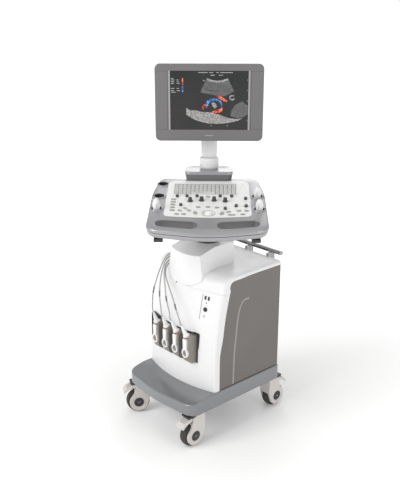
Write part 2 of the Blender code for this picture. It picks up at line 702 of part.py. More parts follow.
def make_castor(cart, name, x, y, yaw):
    pivot = make_empty("castor_axis_" + name, (x, y, 0), (0, 0, math.radians(yaw)), cart)
    hub_y = -CASTOR_TRAIL
    outline = [(0.0235, 0.078), (0.0235, FORK_TOP - 0.004), (0.0200, FORK_TOP), (-0.0130, FORK_TOP),
               (-0.0330, 0.1280), (-0.0350, 0.1120), (-0.0420, 0.0900)]
    outline += arc_points((hub_y, WHEEL_RADIUS), 0.0385, 155, 340, 12)
    fork = plate("castor_fork_" + name, outline, -FORK_HALF_WIDTH, FORK_HALF_WIDTH, pivot, "warm", "X")
    centre = (0, hub_y, WHEEL_RADIUS)
    cut(fork, drum("wheel_well_" + name, centre, WHEEL_RADIUS + 0.0025, 0.0355, pivot, None, "X", 28),
        drum("axle_hole_" + name, centre, 0.0044, 0.1, pivot, None, "X", 10),
        block("pedal_slot_" + name, (-0.0222, -0.0700, 0.1040), (0.0222, -0.0150, 0.1500), pivot, None),
        drum("pedal_pin_hole_" + name, PEDAL_PIVOT, 0.0028, 0.1, pivot, None, "X", 10))

    wheel_axis = make_empty("wheel_axis_" + name, centre, (0, math.pi / 2, 0), pivot)
    half = WHEEL_HALF_WIDTH
    tread = WHEEL_RADIUS - 0.0015
    profile = ((0.0040, -0.0270), (0.0040, -half), (0.0450, -half), (tread, 0.0040 - half),
               (WHEEL_RADIUS, -0.004), (WHEEL_RADIUS, 0.004), (tread, half - 0.0040), (0.0450, half),
               (0.0040, half), (0.0040, 0.0270))
    turned("castor_wheel_" + name, profile, wheel_axis, "tyre", 24)

    pedal_axis = make_empty("pedal_axis_" + name, PEDAL_PIVOT, parent=pivot)
    shape = rounded_outline([(0.0075, -0.0060, 0.002), (0.0075, 0.0060, 0.003), (-0.0180, 0.0080, 0.005),
                             (-0.0470, -0.0070, 0.006), (-0.0600, -0.0210, 0.003),
                             (-0.0560, -0.0275, 0.002), (-0.0430, -0.0165, 0.004),
                             (-0.0240, -0.0062, 0.004)], 2)
    pedal = plate("brake_pedal_" + name, shape, -0.0210, 0.0210, pedal_axis, "warm", "X")
    join(pedal, drum("pedal_pin_" + name, (0, 0, 0), 0.0024, 0.052, pedal_axis, None, "X", 10))


# ---------------------------------------------------------------- console

def console_outline():
    return rounded_outline(mirrored_corners([(0.0, -0.313, 0.50), (0.223, -0.268, 0.055),
                                             (0.2195, 0.050, 0.50), (0.196, 0.192, 0.040)]), 4)


def panel_outline():
    return rounded_outline(mirrored_corners([(0.0, -0.176, 0.9), (0.163, -0.162, 0.022),
                                             (0.161, 0.1565, 0.030)]), 3)


def grip_outline(sign):
    corners = [(0.036, -0.268, 0.024), (0.188, -0.243, 0.026), (0.188, -0.190, 0.020), (0.036, -0.206, 0.022)]
    if sign < 0:
        corners = [(-x, y, r) for x, y, r in reversed(corners)]
    return rounded_outline(corners, 4)


def level_rings(outline, levels):
    """Rings at (inset, z) levels of one outline."""
    return [[(x, y, z) for x, y in inset_outline(outline, inset)] for inset, z in levels]


def make_console(tilted):
    outline = console_outline()
    top = loft("console_top_shell", level_rings(outline, (
        (0.0005, -0.0140), (0.0, -0.0090), (0.0012, -0.0040), (0.0045, 0.0))), tilted, "grey")
    bottom = loft("console_bottom_shell", level_rings(outline, (
        (0.0120, -0.0360), (0.0045, -0.0300), (0.0025, -0.0146))), tilted, "grey")
    belly = plate("console_belly", inset_outline(panel_outline(), -0.006), -0.0490, -0.0300, tilted, None)
    window = plate("panel_window", inset_outline(panel_outline(), -0.0004), -0.03, 0.03, tilted, None)
    cavity = plate("console_cavity", inset_outline(panel_outline(), 0.006), -0.040, 0.0, tilted, None)
    grips = [plate("grip_%d" % i, grip_outline(sign), -0.08, 0.03, tilted, None)
             for i, sign in enumerate((-1, 1))]
    lips = group("cup_lips", [drum_maker((x, y, 0.0005), CUP_RADIUS + 0.0050, 0.006, 20) for x, y in CUPS],
                 tilted)
    bores = group("cup_bores", [drum_maker((x, y, -0.02), CUP_RADIUS, 0.12, 20) for x, y in CUPS], tilted)
    slits = []
    for x, y in CUPS:
        low, high = sorted((x, x + math.copysign(0.06, x)))
        slits.append(block_maker((low, y - 0.006, -0.10), (high, y + 0.006, 0.05)))
    slit_group = group("cup_slits", slits, tilted)
    join(top, lips)
    cut(top, window, bores, slit_group, *grips)
    join(bottom, belly)
    cut(bottom, cavity, bores, slit_group, *grips)

    hook = rounded_outline([(-0.2700, -0.0520, 0.003), (-0.2510, -0.0520, 0.004), (-0.2510, -0.0363, 0.0),
                            (-0.2570, -0.0363, 0.0), (-0.2570, -0.0475, 0.002), (-0.2655, -0.0475, 0.002),
                            (-0.2655, -0.0390, 0.0015), (-0.2700, -0.0390, 0.0015)], 2)
    for side, x in (("left", -0.175), ("right", 0.175)):
        plate("cable_hook_" + side, hook, x - 0.0165, x + 0.0165, tilted, "dark", "X")


def make_panel(tilted):
    panel = loft("control_panel", level_rings(panel_outline(), (
        (0.0, -0.0060), (0.0, 0.0012), (0.0012, 0.0024))), tilted, "white")
    tray = block("key_tray", (-0.134, 0.0245, -0.0032), (0.108, 0.1265, 0.02), tilted, None)
    ball_hole = drum("ball_hole", (*TRACKBALL, 0.0), BALL_RADIUS + 0.0006, 0.05, tilted, None, "Z", 24)
    pockets = group("key_pockets", [key_maker(spot, 0.0005, -0.02, 0.02) for spot in function_keys()]
                    + [drum_maker((x, y, 0.0), 0.0068, 0.04, 10) for x, y in SMALL_KNOBS], tilted)
    cut(panel, tray, ball_hole, pockets)

    mat = plate("function_keys", inset_outline(panel_outline(), 0.009), -0.0100, -0.0068, tilted, "key")
    posts = group("key_posts", [key_maker(spot, 0.0, -0.0080, 0.0054) for spot in function_keys()]
                  + [drum_maker((x, y, 0.0023), 0.0062, 0.0206, 10) for x, y in SMALL_KNOBS], tilted)
    join(mat, posts)
    cut(mat, block("mat_window", (-0.30, 0.0175, -0.05), (0.30, 0.30, 0.05), tilted, None),
        drum("mat_ball_hole", (*TRACKBALL, 0.0), BALL_RADIUS + 0.0010, 0.05, tilted, None, "Z", 24))

    keys = []
    pitch_x = 0.0160
    pitch_y = 0.0200
    for row in range(5):
        for column in range(15):
            wide = 6 if (row, column) == (0, 4) else 1
            if row == 0 and 4 < column < 10:
                continue
            x = -0.1330 + column * pitch_x + 0.0008
            y = 0.0260 + row * pitch_y
            keys.append(block_maker((x, y, -0.0005), (x + wide * pitch_x - 0.0016, y + 0.0176, 0.0056)))
    board = block("keyboard_keys", (-0.1335, 0.0250, -0.0014), (0.1075, 0.1260, 0.0006), tilted, "white")
    join(board, group("key_caps", keys, tilted))

    ball = make_empty("trackball_axis", (*TRACKBALL, -0.0065), parent=tilted)
    builder = bmesh.new()
    bmesh.ops.create_uvsphere(builder, u_segments=16, v_segments=10, radius=BALL_RADIUS)
    add_object("trackball", mesh_from(builder, "trackball"), ball, "white")
    for i, (x, y) in enumerate(BIG_KNOBS, 1):
        axis = make_empty("knob_axis_%d" % i, (x, y, 0.0027), parent=tilted)
        turned("menu_knob_%d" % i, ((0.0092, 0.0), (0.0092, 0.0030), (0.0076, 0.0040), (0.0070, 0.0160)),
               axis, "dark", 16)


def function_keys():
    """Each as (x, y, half length, half width, turn, round)."""
    spots = [(-0.1325, y, 0.0085, 0.0042, -6, False) for y in (-0.022, -0.045, -0.069, -0.093, -0.117)]
    spots += [(x, y, 0.0085, 0.0052, turn, True) for x, y, turn in OVAL_KEYS]
    spots += [(0.088, -0.154, 0.0140, 0.0048, 0, True), (-0.046, -0.138, 0.0070, 0.0125, 12, True),
              (0.052, -0.142, 0.0070, 0.0125, -12, True)]
    return spots


def key_maker(spot, grow, low, high):
    x, y, half_length, half_width, turn, is_round = spot
    if is_round:
        return drum_maker((x, y, (low + high) / 2), half_width + grow, high - low, 10,
                          stretch=(half_length + grow) / (half_width + grow), turn=turn)
    return block_maker((x - half_length - grow, y - half_width - grow, low),
                       (x + half_length + grow, y + half_width + grow, high), turn)


def make_probes(tilted):
    for name, (x, y), turn in (("probe_left", CUPS[2], 100), ("probe_right_rear", CUPS[3], 80),
                               ("probe_right_front", CUPS[4], 75)):
        holder = make_empty(name + "_axis", (x, y, 0.0), (0, 0, math.radians(turn)), tilted)
        levels = ((-0.0480, 0.0060, 0.0060), (-0.0360, 0.0095, 0.0092), (-0.0100, 0.0130, 0.0122),
                  (0.0040, 0.0150, 0.0140), (0.0180, 0.0155, 0.0144), (0.0290, 0.0140, 0.0130),
                  (0.0365, 0.0105, 0.0098), (0.0400, 0.0065, 0.0060), (0.0410, 0.0030, 0.0028))
        loft(name, [[(a, b, z) for a, b in oval(half_x, half_y, 16)] for z, half_x, half_y in levels],
             holder, "white")


def make_swivel(cart, tilted):
    column = turned("swivel_column", ((0.040, 0.0005), (0.0465, 0.006), (0.0465, 0.020), (0.052, 0.045),
                                      (0.066, 0.095), (0.066, 0.155)), cart, "grey", 28)
    column.location = (0, SWIVEL_Y, NECK_TOP)
    cut(column, block("swivel_clearance", (-0.2, -0.2, -0.0493), (0.2, 0.2, 0.1), tilted, None))


# ---------------------------------------------------------------- monitor

def make_monitor(upright):
    slope = math.tan(CONSOLE_TILT)
    outline = rounded_outline(mirrored_corners([(0.0, 0.1635, 0.0), (0.0985, 0.1635, 0.024),
                                                (0.092, 0.284, 0.034)]), 5)
    lid_z = 0.0620
    loft("monitor_platform", (
        [(x * 0.95, y, y * slope + 0.0008) for x, y in outline],
        [(x, y, lid_z - 0.004) for x, y in outline],
        [(x, y, lid_z) for x, y in inset_outline(outline, 0.004)]), upright, "bezel")

    column_axis = make_empty("column_axis", (0, COLUMN_Y, 0), parent=upright)
    collar = turned("monitor_column", ((0.0330, lid_z + GAP), (0.0330, 0.0660), (0.0395, 0.0680),
                                       (0.0395, 0.1050), (0.0375, 0.1070)), column_axis, "white", 28)
    cut(collar, drum("collar_bowl", (0, 0, 0.110), 0.0330, 0.040, column_axis, None, "Z", 24))
    rings = []
    for z, half_x, half_y in ((0.080, 0.0290, 0.0150), (0.130, 0.0320, 0.0150), (0.210, 0.0330, 0.0150),
                              (0.255, 0.0280, 0.0140), (0.276, 0.0215, 0.0120), (0.300, 0.0200, 0.0110)):
        rings.append([(a, b, z) for a, b in oval(half_x, half_y, 20)])
    join(collar, loft("column_post", rings, column_axis, None),
         drum("column_barrel", (0, 0, TILT_Z), 0.0130, 0.048, column_axis, None, "X", 20),
         drum("column_pin", (0, 0, TILT_Z), 0.0050, 0.066, column_axis, None, "X", 12))

    width, height = MONITOR_SIZE
    frame = rectangle(-width / 2, -height / 2, width / 2, height / 2, 0.020, 5)
    head = make_empty("monitor_axis", (0, COLUMN_Y, TILT_Z), parent=upright)
    front = MONITOR_FRONT_Y - COLUMN_Y
    rise = MONITOR_MIDDLE_Z - TILT_Z
    bezel = loft("monitor_bezel", [[(x, front + depth, z + rise) for x, z in inset_outline(frame, inset)]
                                   for inset, depth in ((0.003, 0.0), (0.0, 0.003), (0.0, 0.020))],
                 head, "bezel")
    half_w = SCREEN_SIZE[0] / 2
    half_h = SCREEN_SIZE[1] / 2
    middle = rise + SCREEN_RAISE
    cut(bezel, block("screen_window", (-half_w, front - 0.01, middle - half_h),
                     (half_w, front + 0.03, middle + half_h), head, None),
        block("lcd_pocket", (-half_w - 0.006, front + 0.003, middle - half_h - 0.006),
              (half_w + 0.006, front + 0.03, middle + half_h + 0.006), head, None))
    block("lcd_panel", (-half_w - 0.0055, front + 0.0033, middle - half_h - 0.0055),
          (half_w + 0.0055, front + 0.0190, middle + half_h + 0.0055), head, "screen")

    back = loft("monitor_rear_cover", [[(x, front + depth, z + rise) for x, z in inset_outline(frame, inset)]
                                       for inset, depth in ((0.001, 0.0203), (0.001, 0.0280),
                                                            (0.0080, 0.0380), (0.0180, 0.0460))],
                head, "bezel")
    ear = [(front + 0.040, -0.014)] + arc_points((0, 0), 0.014, -90, 90, 10) + [(front + 0.040, 0.014)]
    join(back, plate("tilt_ear_left", ear, -0.0326, -0.0256, head, None, "X"),
         plate("tilt_ear_right", ear, 0.0256, 0.0326, head, None, "X"))
    cut(back, drum("tilt_eye", (0, 0, 0), 0.0053, 0.1, head, None, "X", 12))


def main():
    cart = make_empty("cart_frame", CART_ORIGIN)
    upright = make_empty("console_upright", (0, SWIVEL_Y, CONSOLE_HEIGHT), (0, 0, CONSOLE_YAW), cart)
    tilted = make_empty("console_tilted", (0, 0, 0), (CONSOLE_TILT, 0, 0), upright)
    make_base(cart)
    make_inside(cart)
    make_covers(cart)
    make_rear(cart)
    make_neck(cart)
    make_connectors(cart)
    for name, (x, y, yaw) in CASTORS.items():
        make_castor(cart, name, x, y, yaw)
    make_console(tilted)
    make_panel(tilted)
    make_probes(tilted)
    make_swivel(cart, tilted)
    make_monitor(upright)


clear_scene()
PARTS = new_collection("ultrasound_machine")
CUTTERS = new_collection("cutters")
MATERIALS = make_materials()
main()
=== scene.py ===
import math

import bmesh
import bpy
from mathutils import Matrix, Vector
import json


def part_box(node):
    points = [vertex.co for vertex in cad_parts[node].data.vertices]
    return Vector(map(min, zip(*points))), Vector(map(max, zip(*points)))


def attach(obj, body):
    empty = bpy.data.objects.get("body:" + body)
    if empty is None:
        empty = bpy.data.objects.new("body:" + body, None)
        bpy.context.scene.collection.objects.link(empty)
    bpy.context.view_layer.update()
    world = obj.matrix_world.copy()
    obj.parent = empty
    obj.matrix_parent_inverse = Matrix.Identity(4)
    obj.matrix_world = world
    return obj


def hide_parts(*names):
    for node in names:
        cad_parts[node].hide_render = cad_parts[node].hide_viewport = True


# Looks for the cart ultrasound machine. Everything is in metres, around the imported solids.
# The cart's front faces -Y. The console and monitor have their own frames, taken from the joints.

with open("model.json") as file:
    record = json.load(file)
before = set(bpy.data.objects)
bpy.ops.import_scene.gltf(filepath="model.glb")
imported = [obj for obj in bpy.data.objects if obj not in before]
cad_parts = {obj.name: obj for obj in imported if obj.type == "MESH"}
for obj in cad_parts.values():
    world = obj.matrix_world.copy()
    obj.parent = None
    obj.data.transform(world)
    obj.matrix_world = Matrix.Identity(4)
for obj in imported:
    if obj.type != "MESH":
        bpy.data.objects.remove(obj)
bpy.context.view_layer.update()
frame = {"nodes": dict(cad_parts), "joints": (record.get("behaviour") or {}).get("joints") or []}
GAP = 0.0003

# Base and body, in the cart's frame
BASE_HALF_WIDTH = 0.2005
BASE_BOTTOM = 0.137
BASE_TOP = 0.2005
BASE_REAR = 0.246
BASE_FRONT_CORNER = -0.242
BASE_FRONT_BOW = 0.016
BODY_HALF_WIDTH = 0.1965
BODY_REAR = 0.237
BODY_TOP = 0.658
BODY_CORNER = 0.014
FRONT_APEX = -0.153
FRONT_PLAN_RADIUS = 0.56
FRONT_RAKE_START = 0.30
FRONT_RAKE = 0.4577
SHOULDER_Z = 0.615
CROWN_Z = 0.6572
SEAM_Z = 0.596
WALL = 0.0035
NECK_HALF_WIDTH = 0.085
NECK_REAR = 0.088
NECK_TOP = 0.7455
NECK_FRONT_TOP = 0.722
SHELF_FRONT = NECK_REAR + 0.004
RECESS = ((-0.160, 0.307), (0.122, 0.429))
CREASE_LINE = ((-0.0155, 0.270), (-0.013, 0.336), (-0.003, 0.432), (0.0035, 0.480), (0.013, 0.516),
               (0.032, 0.543), (0.062, 0.546))
SWIVEL_Y = 0.024
FAN_MIDDLE = (0.085, 0.470)
HANDLE_MIDDLE = (0.270, 0.673)

# Castors
WHEEL_RADIUS = 0.049
WHEEL_HALF_WIDTH = 0.0165
CASTOR_TRAIL = 0.024
FORK_HALF_WIDTH = 0.0275
FORK_TOP = 0.1365
PEDAL_PIVOT = Vector((0.0, -0.026, 0.119))
CASTOR_NAMES = ("front_right", "front_left", "rear_right", "rear_left")

# Probe plugs and leads
PLUG_X = (-0.0865, -0.0255, 0.0345, 0.0945)
PLUG_WIDTH = 0.031
PLUG_FRONT_Y = -0.176
PLUG_BACK_Y = -0.1134
LEVER_PIVOT_Z = 0.387
RELIEF_LEAN = (-0.001, -0.006, -0.014, -0.013)
LEAD_START = (-0.1868, 0.4685)
LEAD_RADIUS = 0.0026
LEAD_STEP = 0.014

# Console, in its tilted frame
CONSOLE_TILT = math.radians(9.56)
CUP_RADIUS = 0.0200
CUPS = ((-0.181, 0.126), (-0.189, 0.012), (-0.192, -0.100), (0.189, 0.012), (0.192, -0.100))
SMALL_KNOBS = ((-0.119, 0.004), (-0.082, 0.005), (-0.043, 0.005), (0.046, 0.006), (0.090, 0.006),
               (-0.102, -0.075), (0.143, -0.016), (0.106, -0.081), (0.143, -0.082), (0.065, -0.105))
BIG_KNOBS = ((-0.068, -0.037), (-0.025, -0.030), (0.023, -0.030), (0.065, -0.037))
TRACKBALL = (0.003, -0.141)
BALL_DEPTH = -0.0065
BALL_RADIUS = 0.0165
KEY_PITCH = (0.0160, 0.0200)
KEYS_CORNER = (-0.1330, 0.0268)
OVAL_KEYS = ((-0.001, 0.003, 0), (-0.037, -0.090, -8), (0.0, -0.088, 0), (0.034, -0.093, 8),
             (-0.085, -0.100, -30), (-0.070, -0.119, -30), (-0.104, -0.120, -25), (-0.114, -0.150, -10),
             (-0.088, -0.150, -10), (0.116, -0.119, 20), (0.144, -0.119, 0),
             (0.129, -0.149, 10), (0.077, -0.129, 25))

# Monitor, in the console's frame with the tilt taken out
MONITOR_SIZE = (0.424, 0.299)
MONITOR_MIDDLE_Z = 0.338
MONITOR_FRONT_Y = 0.163
SCREEN_SIZE = (0.304, 0.228)
SCREEN_RAISE = 0.0095
COLUMN_Y = 0.2445
TILT_Z = 0.300
PLATFORM_TOP = 0.0620


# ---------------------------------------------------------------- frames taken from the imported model

JOINTS = {joint["name"]: joint for joint in frame["joints"]}


def joint_point(name):
    return Vector(JOINTS[name]["pos_m"])


def frame_matrix(origin, turn):
    return Matrix.Translation(origin) @ turn.to_4x4()


def cart_matrix():
    low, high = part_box("base_cover")
    return Matrix.Translation(((low.x + high.x) / 2, high.y - BASE_REAR, 0.0))


def tilted_matrix():
    """The key surface's frame, from the key stroke's direction and the trackball's middle."""
    up = -Vector(JOINTS["keyboard_press"]["axis"]).normalized()
    right = Vector((0, 0, 1)).cross(up).normalized()
    turn = Matrix((right, up.cross(right), up)).transposed()
    return frame_matrix(joint_point("trackball_roll") - turn @ Vector((*TRACKBALL, BALL_DEPTH)), turn)


def castor_matrix(name):
    pivot = joint_point("castor_swivel_" + name)
    trail = joint_point("wheel_roll_" + name) - pivot
    yaw = math.atan2(trail.x, -trail.y)
    return Matrix.Translation((pivot.x, pivot.y, 0.0)) @ Matrix.Rotation(yaw, 4, "Z")


CART = cart_matrix()
TILTED = tilted_matrix()
UPRIGHT = TILTED @ Matrix.Rotation(-CONSOLE_TILT, 4, "X")
HEAD = UPRIGHT @ Matrix.Translation((0, COLUMN_Y, TILT_Z))


# ---------------------------------------------------------------- meshes

def arc_points(centre, radius, start, end, steps):
    """Points on an arc from start to end, in degrees."""
    angles = [math.radians(start + (end - start) * i / steps) for i in range(steps + 1)]
    return [(centre[0] + radius * math.cos(a), centre[1] + radius * math.sin(a)) for a in angles]


def rounded_outline(corners, steps=8):
    """A closed outline from (x, y, radius) corners listed anticlockwise."""
    points = []
    count = len(corners)
    for i, (x, y, radius) in enumerate(corners):
        here = Vector((x, y))
        to_last = (Vector(corners[i - 1][:2]) - here).normalized()
        to_next = (Vector(corners[(i + 1) % count][:2]) - here).normalized()
        half = math.acos(max(-1.0, min(1.0, to_last.dot(to_next)))) / 2
        if radius <= 0:
            points.append((x, y))
            continue
        reach = radius / math.tan(half)
        centre = here + (to_last + to_next).normalized() * radius / math.sin(half)
        first = here + to_last * reach - centre
        last = here + to_next * reach - centre
        sweep = first.angle_signed(last)
        for k in range(steps + 1):
            ray = first.copy()
            ray.rotate(Matrix.Rotation(-sweep * k / steps, 2))
            points.append(tuple(centre + ray))
    return points


def mirrored_corners(half):
    """Closes a half outline, listed from the front middle round the +X side, over x = 0."""
    return half + [(-x, y, r) for x, y, r in reversed(half) if abs(x) > 1e-6]


def rectangle(low_x, low_y, high_x, high_y, radius, steps=5):
    return rounded_outline([(low_x, low_y, radius), (high_x, low_y, radius),
                            (high_x, high_y, radius), (low_x, high_y, radius)], steps)


def inset_outline(points, distance):
    """Moves a smooth anticlockwise outline inwards by a distance."""
    moved = []
    count = len(points)
    for i, (x, y) in enumerate(points):
        along = (Vector(points[(i + 1) % count]) - Vector(points[i - 1])).normalized()
        moved.append((x - along.y * distance, y + along.x * distance))
    return moved


def oval(half_x, half_y, segments=32):
    angles = [2 * math.pi * k / segments for k in range(segments)]
    return [(half_x * math.cos(a), half_y * math.sin(a)) for a in angles]


def mesh_from(builder):
    mesh = bpy.data.meshes.new("shape")
    builder.to_mesh(mesh)
    builder.free()
    return mesh


def loft(rings):
    """A closed solid through rings of equal length, capped at both ends."""
    builder = bmesh.new()
    rows = [[builder.verts.new(p) for p in ring] for ring in rings]
    count = len(rows[0])
    for low, high in zip(rows, rows[1:]):
        for i in range(count):
            j = (i + 1) % count
            builder.faces.new((low[i], low[j], high[j], high[i]))
    builder.faces.new(list(reversed(rows[0])))
    builder.faces.new(rows[-1])
    bmesh.ops.recalc_face_normals(builder, faces=builder.faces)
    return mesh_from(builder)


def turned(profile, segments=48, turn=Matrix.Identity(4)):
    """A solid of revolution about Z from (radius, z) points, listed from its bottom to its top."""
    mesh = loft([[(*point, z) for point in oval(radius, radius, segments)] for radius, z in profile])
    mesh.transform(turn)
    return mesh


def plate(outline, low, high, axis="Z"):
    """A flat outline across an axis, from low to high along it: (x, y), (x, z) or (y, z) points."""
    if axis == "Z":
        rings = [[(a, b, c) for a, b in outline] for c in (low, high)]
    elif axis == "Y":
        rings = [[(a, c, b) for a, b in outline] for c in (low, high)]
    else:
        rings = [[(c, a, b) for a, b in outline] for c in (low, high)]
    return loft(rings)


def box(low, high, turn=0.0):
    """A box turned about its own upright middle line."""
    builder = bmesh.new()
    size = Vector(high) - Vector(low)
    middle = (Vector(high) + Vector(low)) / 2
    matrix = Matrix.Translation(middle) @ Matrix.Rotation(math.radians(turn), 4, "Z")
    bmesh.ops.create_cube(builder, size=1.0, matrix=matrix @ Matrix.Diagonal((*size, 1.0)))
    return mesh_from(builder)


AXIS_TURN = {"Z": Matrix.Identity(4), "X": Matrix.Rotation(math.pi / 2, 4, "Y"),
             "Y": Matrix.Rotation(-math.pi / 2, 4, "X")}


def drum(centre, radius, length, axis="Z", segments=32, top_radius=None):
    builder = bmesh.new()
    bmesh.ops.create_cone(builder, cap_ends=True, segments=segments, radius1=radius,
                          radius2=radius if top_radius is None else top_radius, depth=length,
                          matrix=Matrix.Translation(centre) @ AXIS_TURN[axis])
    return mesh_from(builder)


def merged(meshes):
    """Several solids as one mesh, left as separate shells."""
    builder = bmesh.new()
    for mesh in meshes:
        builder.from_mesh(mesh)
        bpy.data.meshes.remove(mesh)
    return mesh_from(builder)


def moved(mesh, matrix):
    mesh.transform(matrix)
    return mesh


def temporary(mesh):
    made = bpy.data.objects.new("temporary", mesh)
    bpy.context.scene.collection.objects.link(made)
    return made


def evaluated(item, *others):
    """The mesh with its modifiers applied; the objects that it came from are removed."""
    graph = bpy.context.evaluated_depsgraph_get()
    made = bpy.data.meshes.new_from_object(item.evaluated_get(graph))
    for old in (item, *others):
        bpy.data.objects.remove(old, do_unlink=True)
    return made


def combined(base, cuts=(), adds=()):
    """One mesh, with the adds joined to it and the cuts taken out."""
    item = temporary(base)
    others = []
    for operation, meshes in (("UNION", adds), ("DIFFERENCE", cuts)):
        for mesh in meshes:
            other = temporary(mesh)
            step = item.modifiers.new(operation, "BOOLEAN")
            step.operation = operation
            step.solver = "EXACT"
            step.object = other
            others.append(other)
    return evaluated(item, *others)


def shell(rows, thickness):
    """An open surface through rows of points, thickened inwards."""
    builder = bmesh.new()
    grid = [[builder.verts.new(p) for p in row] for row in rows]
    for low, high in zip(grid, grid[1:]):
        for i in range(len(low) - 1):
            builder.faces.new((low[i], low[i + 1], high[i + 1], high[i]))
    item = temporary(mesh_from(builder))
    thicken = item.modifiers.new("Wall", "SOLIDIFY")
    thicken.thickness = thickness
    thicken.offset = -1.0
    thicken.use_even_offset = True
    return evaluated(item)


def piece(name, mesh, place, finish, replaces=(), bevel=0.0, segments=3, angle=35.0):
    """Puts a mesh in place as (matrix, body), in its finish, with rounded edges."""
    matrix, body = place
    mesh.transform(matrix)
    made = bpy.data.objects.new(name, mesh)
    bpy.context.scene.collection.objects.link(made)
    mesh.materials.clear()
    mesh.materials.append(FINISHES[finish])
    mesh.shade_smooth()
    if bevel:
        rounding = made.modifiers.new("Rounding", "BEVEL")
        rounding.width = bevel
        rounding.segments = segments
        rounding.limit_method = "ANGLE"
        rounding.angle_limit = math.radians(angle)
        rounding.harden_normals = True
    else:
        mesh.set_sharp_from_angle(angle=math.radians(angle))
    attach(made, body)
    if replaces:
        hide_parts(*replaces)
    return made


def smooth_route(points, spacing):
    """Even steps along a Catmull-Rom curve through the points."""
    knots = [Vector(p) for p in points]
    knots = [2 * knots[0] - knots[1]] + knots + [2 * knots[-1] - knots[-2]]
    fine = []
    for a, b, c, d in zip(knots, knots[1:], knots[2:], knots[3:]):
        for i in range(24):
            t = i / 24
            fine.append(0.5 * (2 * b + (c - a) * t + (2 * a - 5 * b + 4 * c - d) * t * t
                               + (3 * b - a - 3 * c + d) * t ** 3))
    fine.append(knots[-2])
    total = sum((q - p).length for p, q in zip(fine, fine[1:]))
    count = max(2, round(total / spacing))
    step = total / count
    route = [fine[0]]
    walked = 0.0
    for p, q in zip(fine, fine[1:]):
        length = (q - p).length
        while length > 0 and len(route) < count and walked + length >= step * len(route):
            route.append(p.lerp(q, (step * len(route) - walked) / length))
        walked += length
    route.append(fine[-1])
    return route


def rod(name, points, radius, place, finish, replaces=(), cyclic=False, resolution=4):
    """A round bar, wire or cord along a polyline."""
    matrix, body = place
    data = bpy.data.curves.new(name, "CURVE")
    data.dimensions = "3D"
    data.bevel_depth = radius
    data.bevel_resolution = resolution
    data.use_fill_caps = True
    spline = data.splines.new("POLY")
    spline.points.add(len(points) - 1)
    spline.use_cyclic_u = cyclic
    spline.use_smooth = True
    for place_of, point in zip(spline.points, points):
        place_of.co = (*(matrix @ Vector(point)), 1.0)
    data.materials.append(FINISHES[finish])
    made = bpy.data.objects.new(name, data)
    bpy.context.scene.collection.objects.link(made)
    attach(made, body)
    if replaces:
        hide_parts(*replaces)
    return made


# ---------------------------------------------------------------- finishes

def noise_node(tree, scale, detail, stretch=None):
    """A noise in the object's own coordinates, in features a metre."""
    nodes = tree.nodes
    where = nodes.new("ShaderNodeTexCoord").outputs["Object"]
    if stretch:
        mapping = nodes.new("ShaderNodeMapping")
        mapping.inputs["Scale"].default_value = stretch
        tree.links.new(where, mapping.inputs["Vector"])
        where = mapping.outputs["Vector"]
    noise = nodes.new("ShaderNodeTexNoise")
    noise.inputs["Scale"].default_value = scale
    noise.inputs["Detail"].default_value = detail
    tree.links.new(where, noise.inputs["Vector"])
    return noise.outputs["Fac"]


def ramp_node(tree, value, stops):
    ramp = tree.nodes.new("ShaderNodeValToRGB")
    tree.links.new(value, ramp.inputs["Fac"])
    while len(ramp.color_ramp.elements) < len(stops):
        ramp.color_ramp.elements.new(0.5)
    for element, (position, colour) in zip(ramp.color_ramp.elements, stops):
        element.position = position
        element.color = (*colour, 1.0)
    return ramp.outputs["Color"]


def range_node(tree, value, low, high):
    remap = tree.nodes.new("ShaderNodeMapRange")
    tree.links.new(value, remap.inputs["Value"])
    remap.inputs["From Min"].default_value = 0.3
    remap.inputs["From Max"].default_value = 0.7
    remap.inputs["To Min"].default_value = low
    remap.inputs["To Max"].default_value = high
    return remap.outputs["Result"]


def finish_material(name, colour, roughness, metallic=0.0, coat=0.0, grain=(900, 0.06), variation=0.03,
                    stretch=None, wear=0.0, smear=0.05):
    """Moulded or painted surface: slow colour drift, uneven gloss, fine grain, and worn edges."""
    made = bpy.data.materials.new(name)
    made.use_nodes = True
    tree = made.node_tree
    shader = tree.nodes["Principled BSDF"]
    shader.inputs["Metallic"].default_value = metallic
    shader.inputs["Coat Weight"].default_value = coat
    shader.inputs["Coat Roughness"].default_value = 0.12
    dark = [c * (1 - variation) for c in colour]
    light = [min(1.0, c * (1 + variation)) for c in colour]
    drift = noise_node(tree, 7.0, 4.0)
    base = ramp_node(tree, drift, ((0.3, dark), (0.7, light)))
    if wear:
        edges = tree.nodes.new("ShaderNodeNewGeometry").outputs["Pointiness"]
        mask = ramp_node(tree, edges, ((0.50, (0, 0, 0)), (0.60, (wear, wear, wear))))
        mix = tree.nodes.new("ShaderNodeMix")
        mix.data_type = "RGBA"
        tree.links.new(mask, mix.inputs["Factor"])
        tree.links.new(base, mix.inputs["A"])
        mix.inputs["B"].default_value = (*[min(1.0, c * 1.5 + 0.05) for c in colour], 1.0)
        base = mix.outputs["Result"]
    tree.links.new(base, shader.inputs["Base Color"])
    smears = noise_node(tree, 28.0, 5.0)
    gloss = range_node(tree, smears, max(0.03, roughness - smear), roughness + smear)
    tree.links.new(gloss, shader.inputs["Roughness"])
    bump = tree.nodes.new("ShaderNodeBump")
    bump.inputs["Strength"].default_value = grain[1]
    bump.inputs["Distance"].default_value = 0.0004
    tree.links.new(noise_node(tree, grain[0], 3.0, stretch), bump.inputs["Height"])
    tree.links.new(bump.outputs["Normal"], shader.inputs["Normal"])
    return made


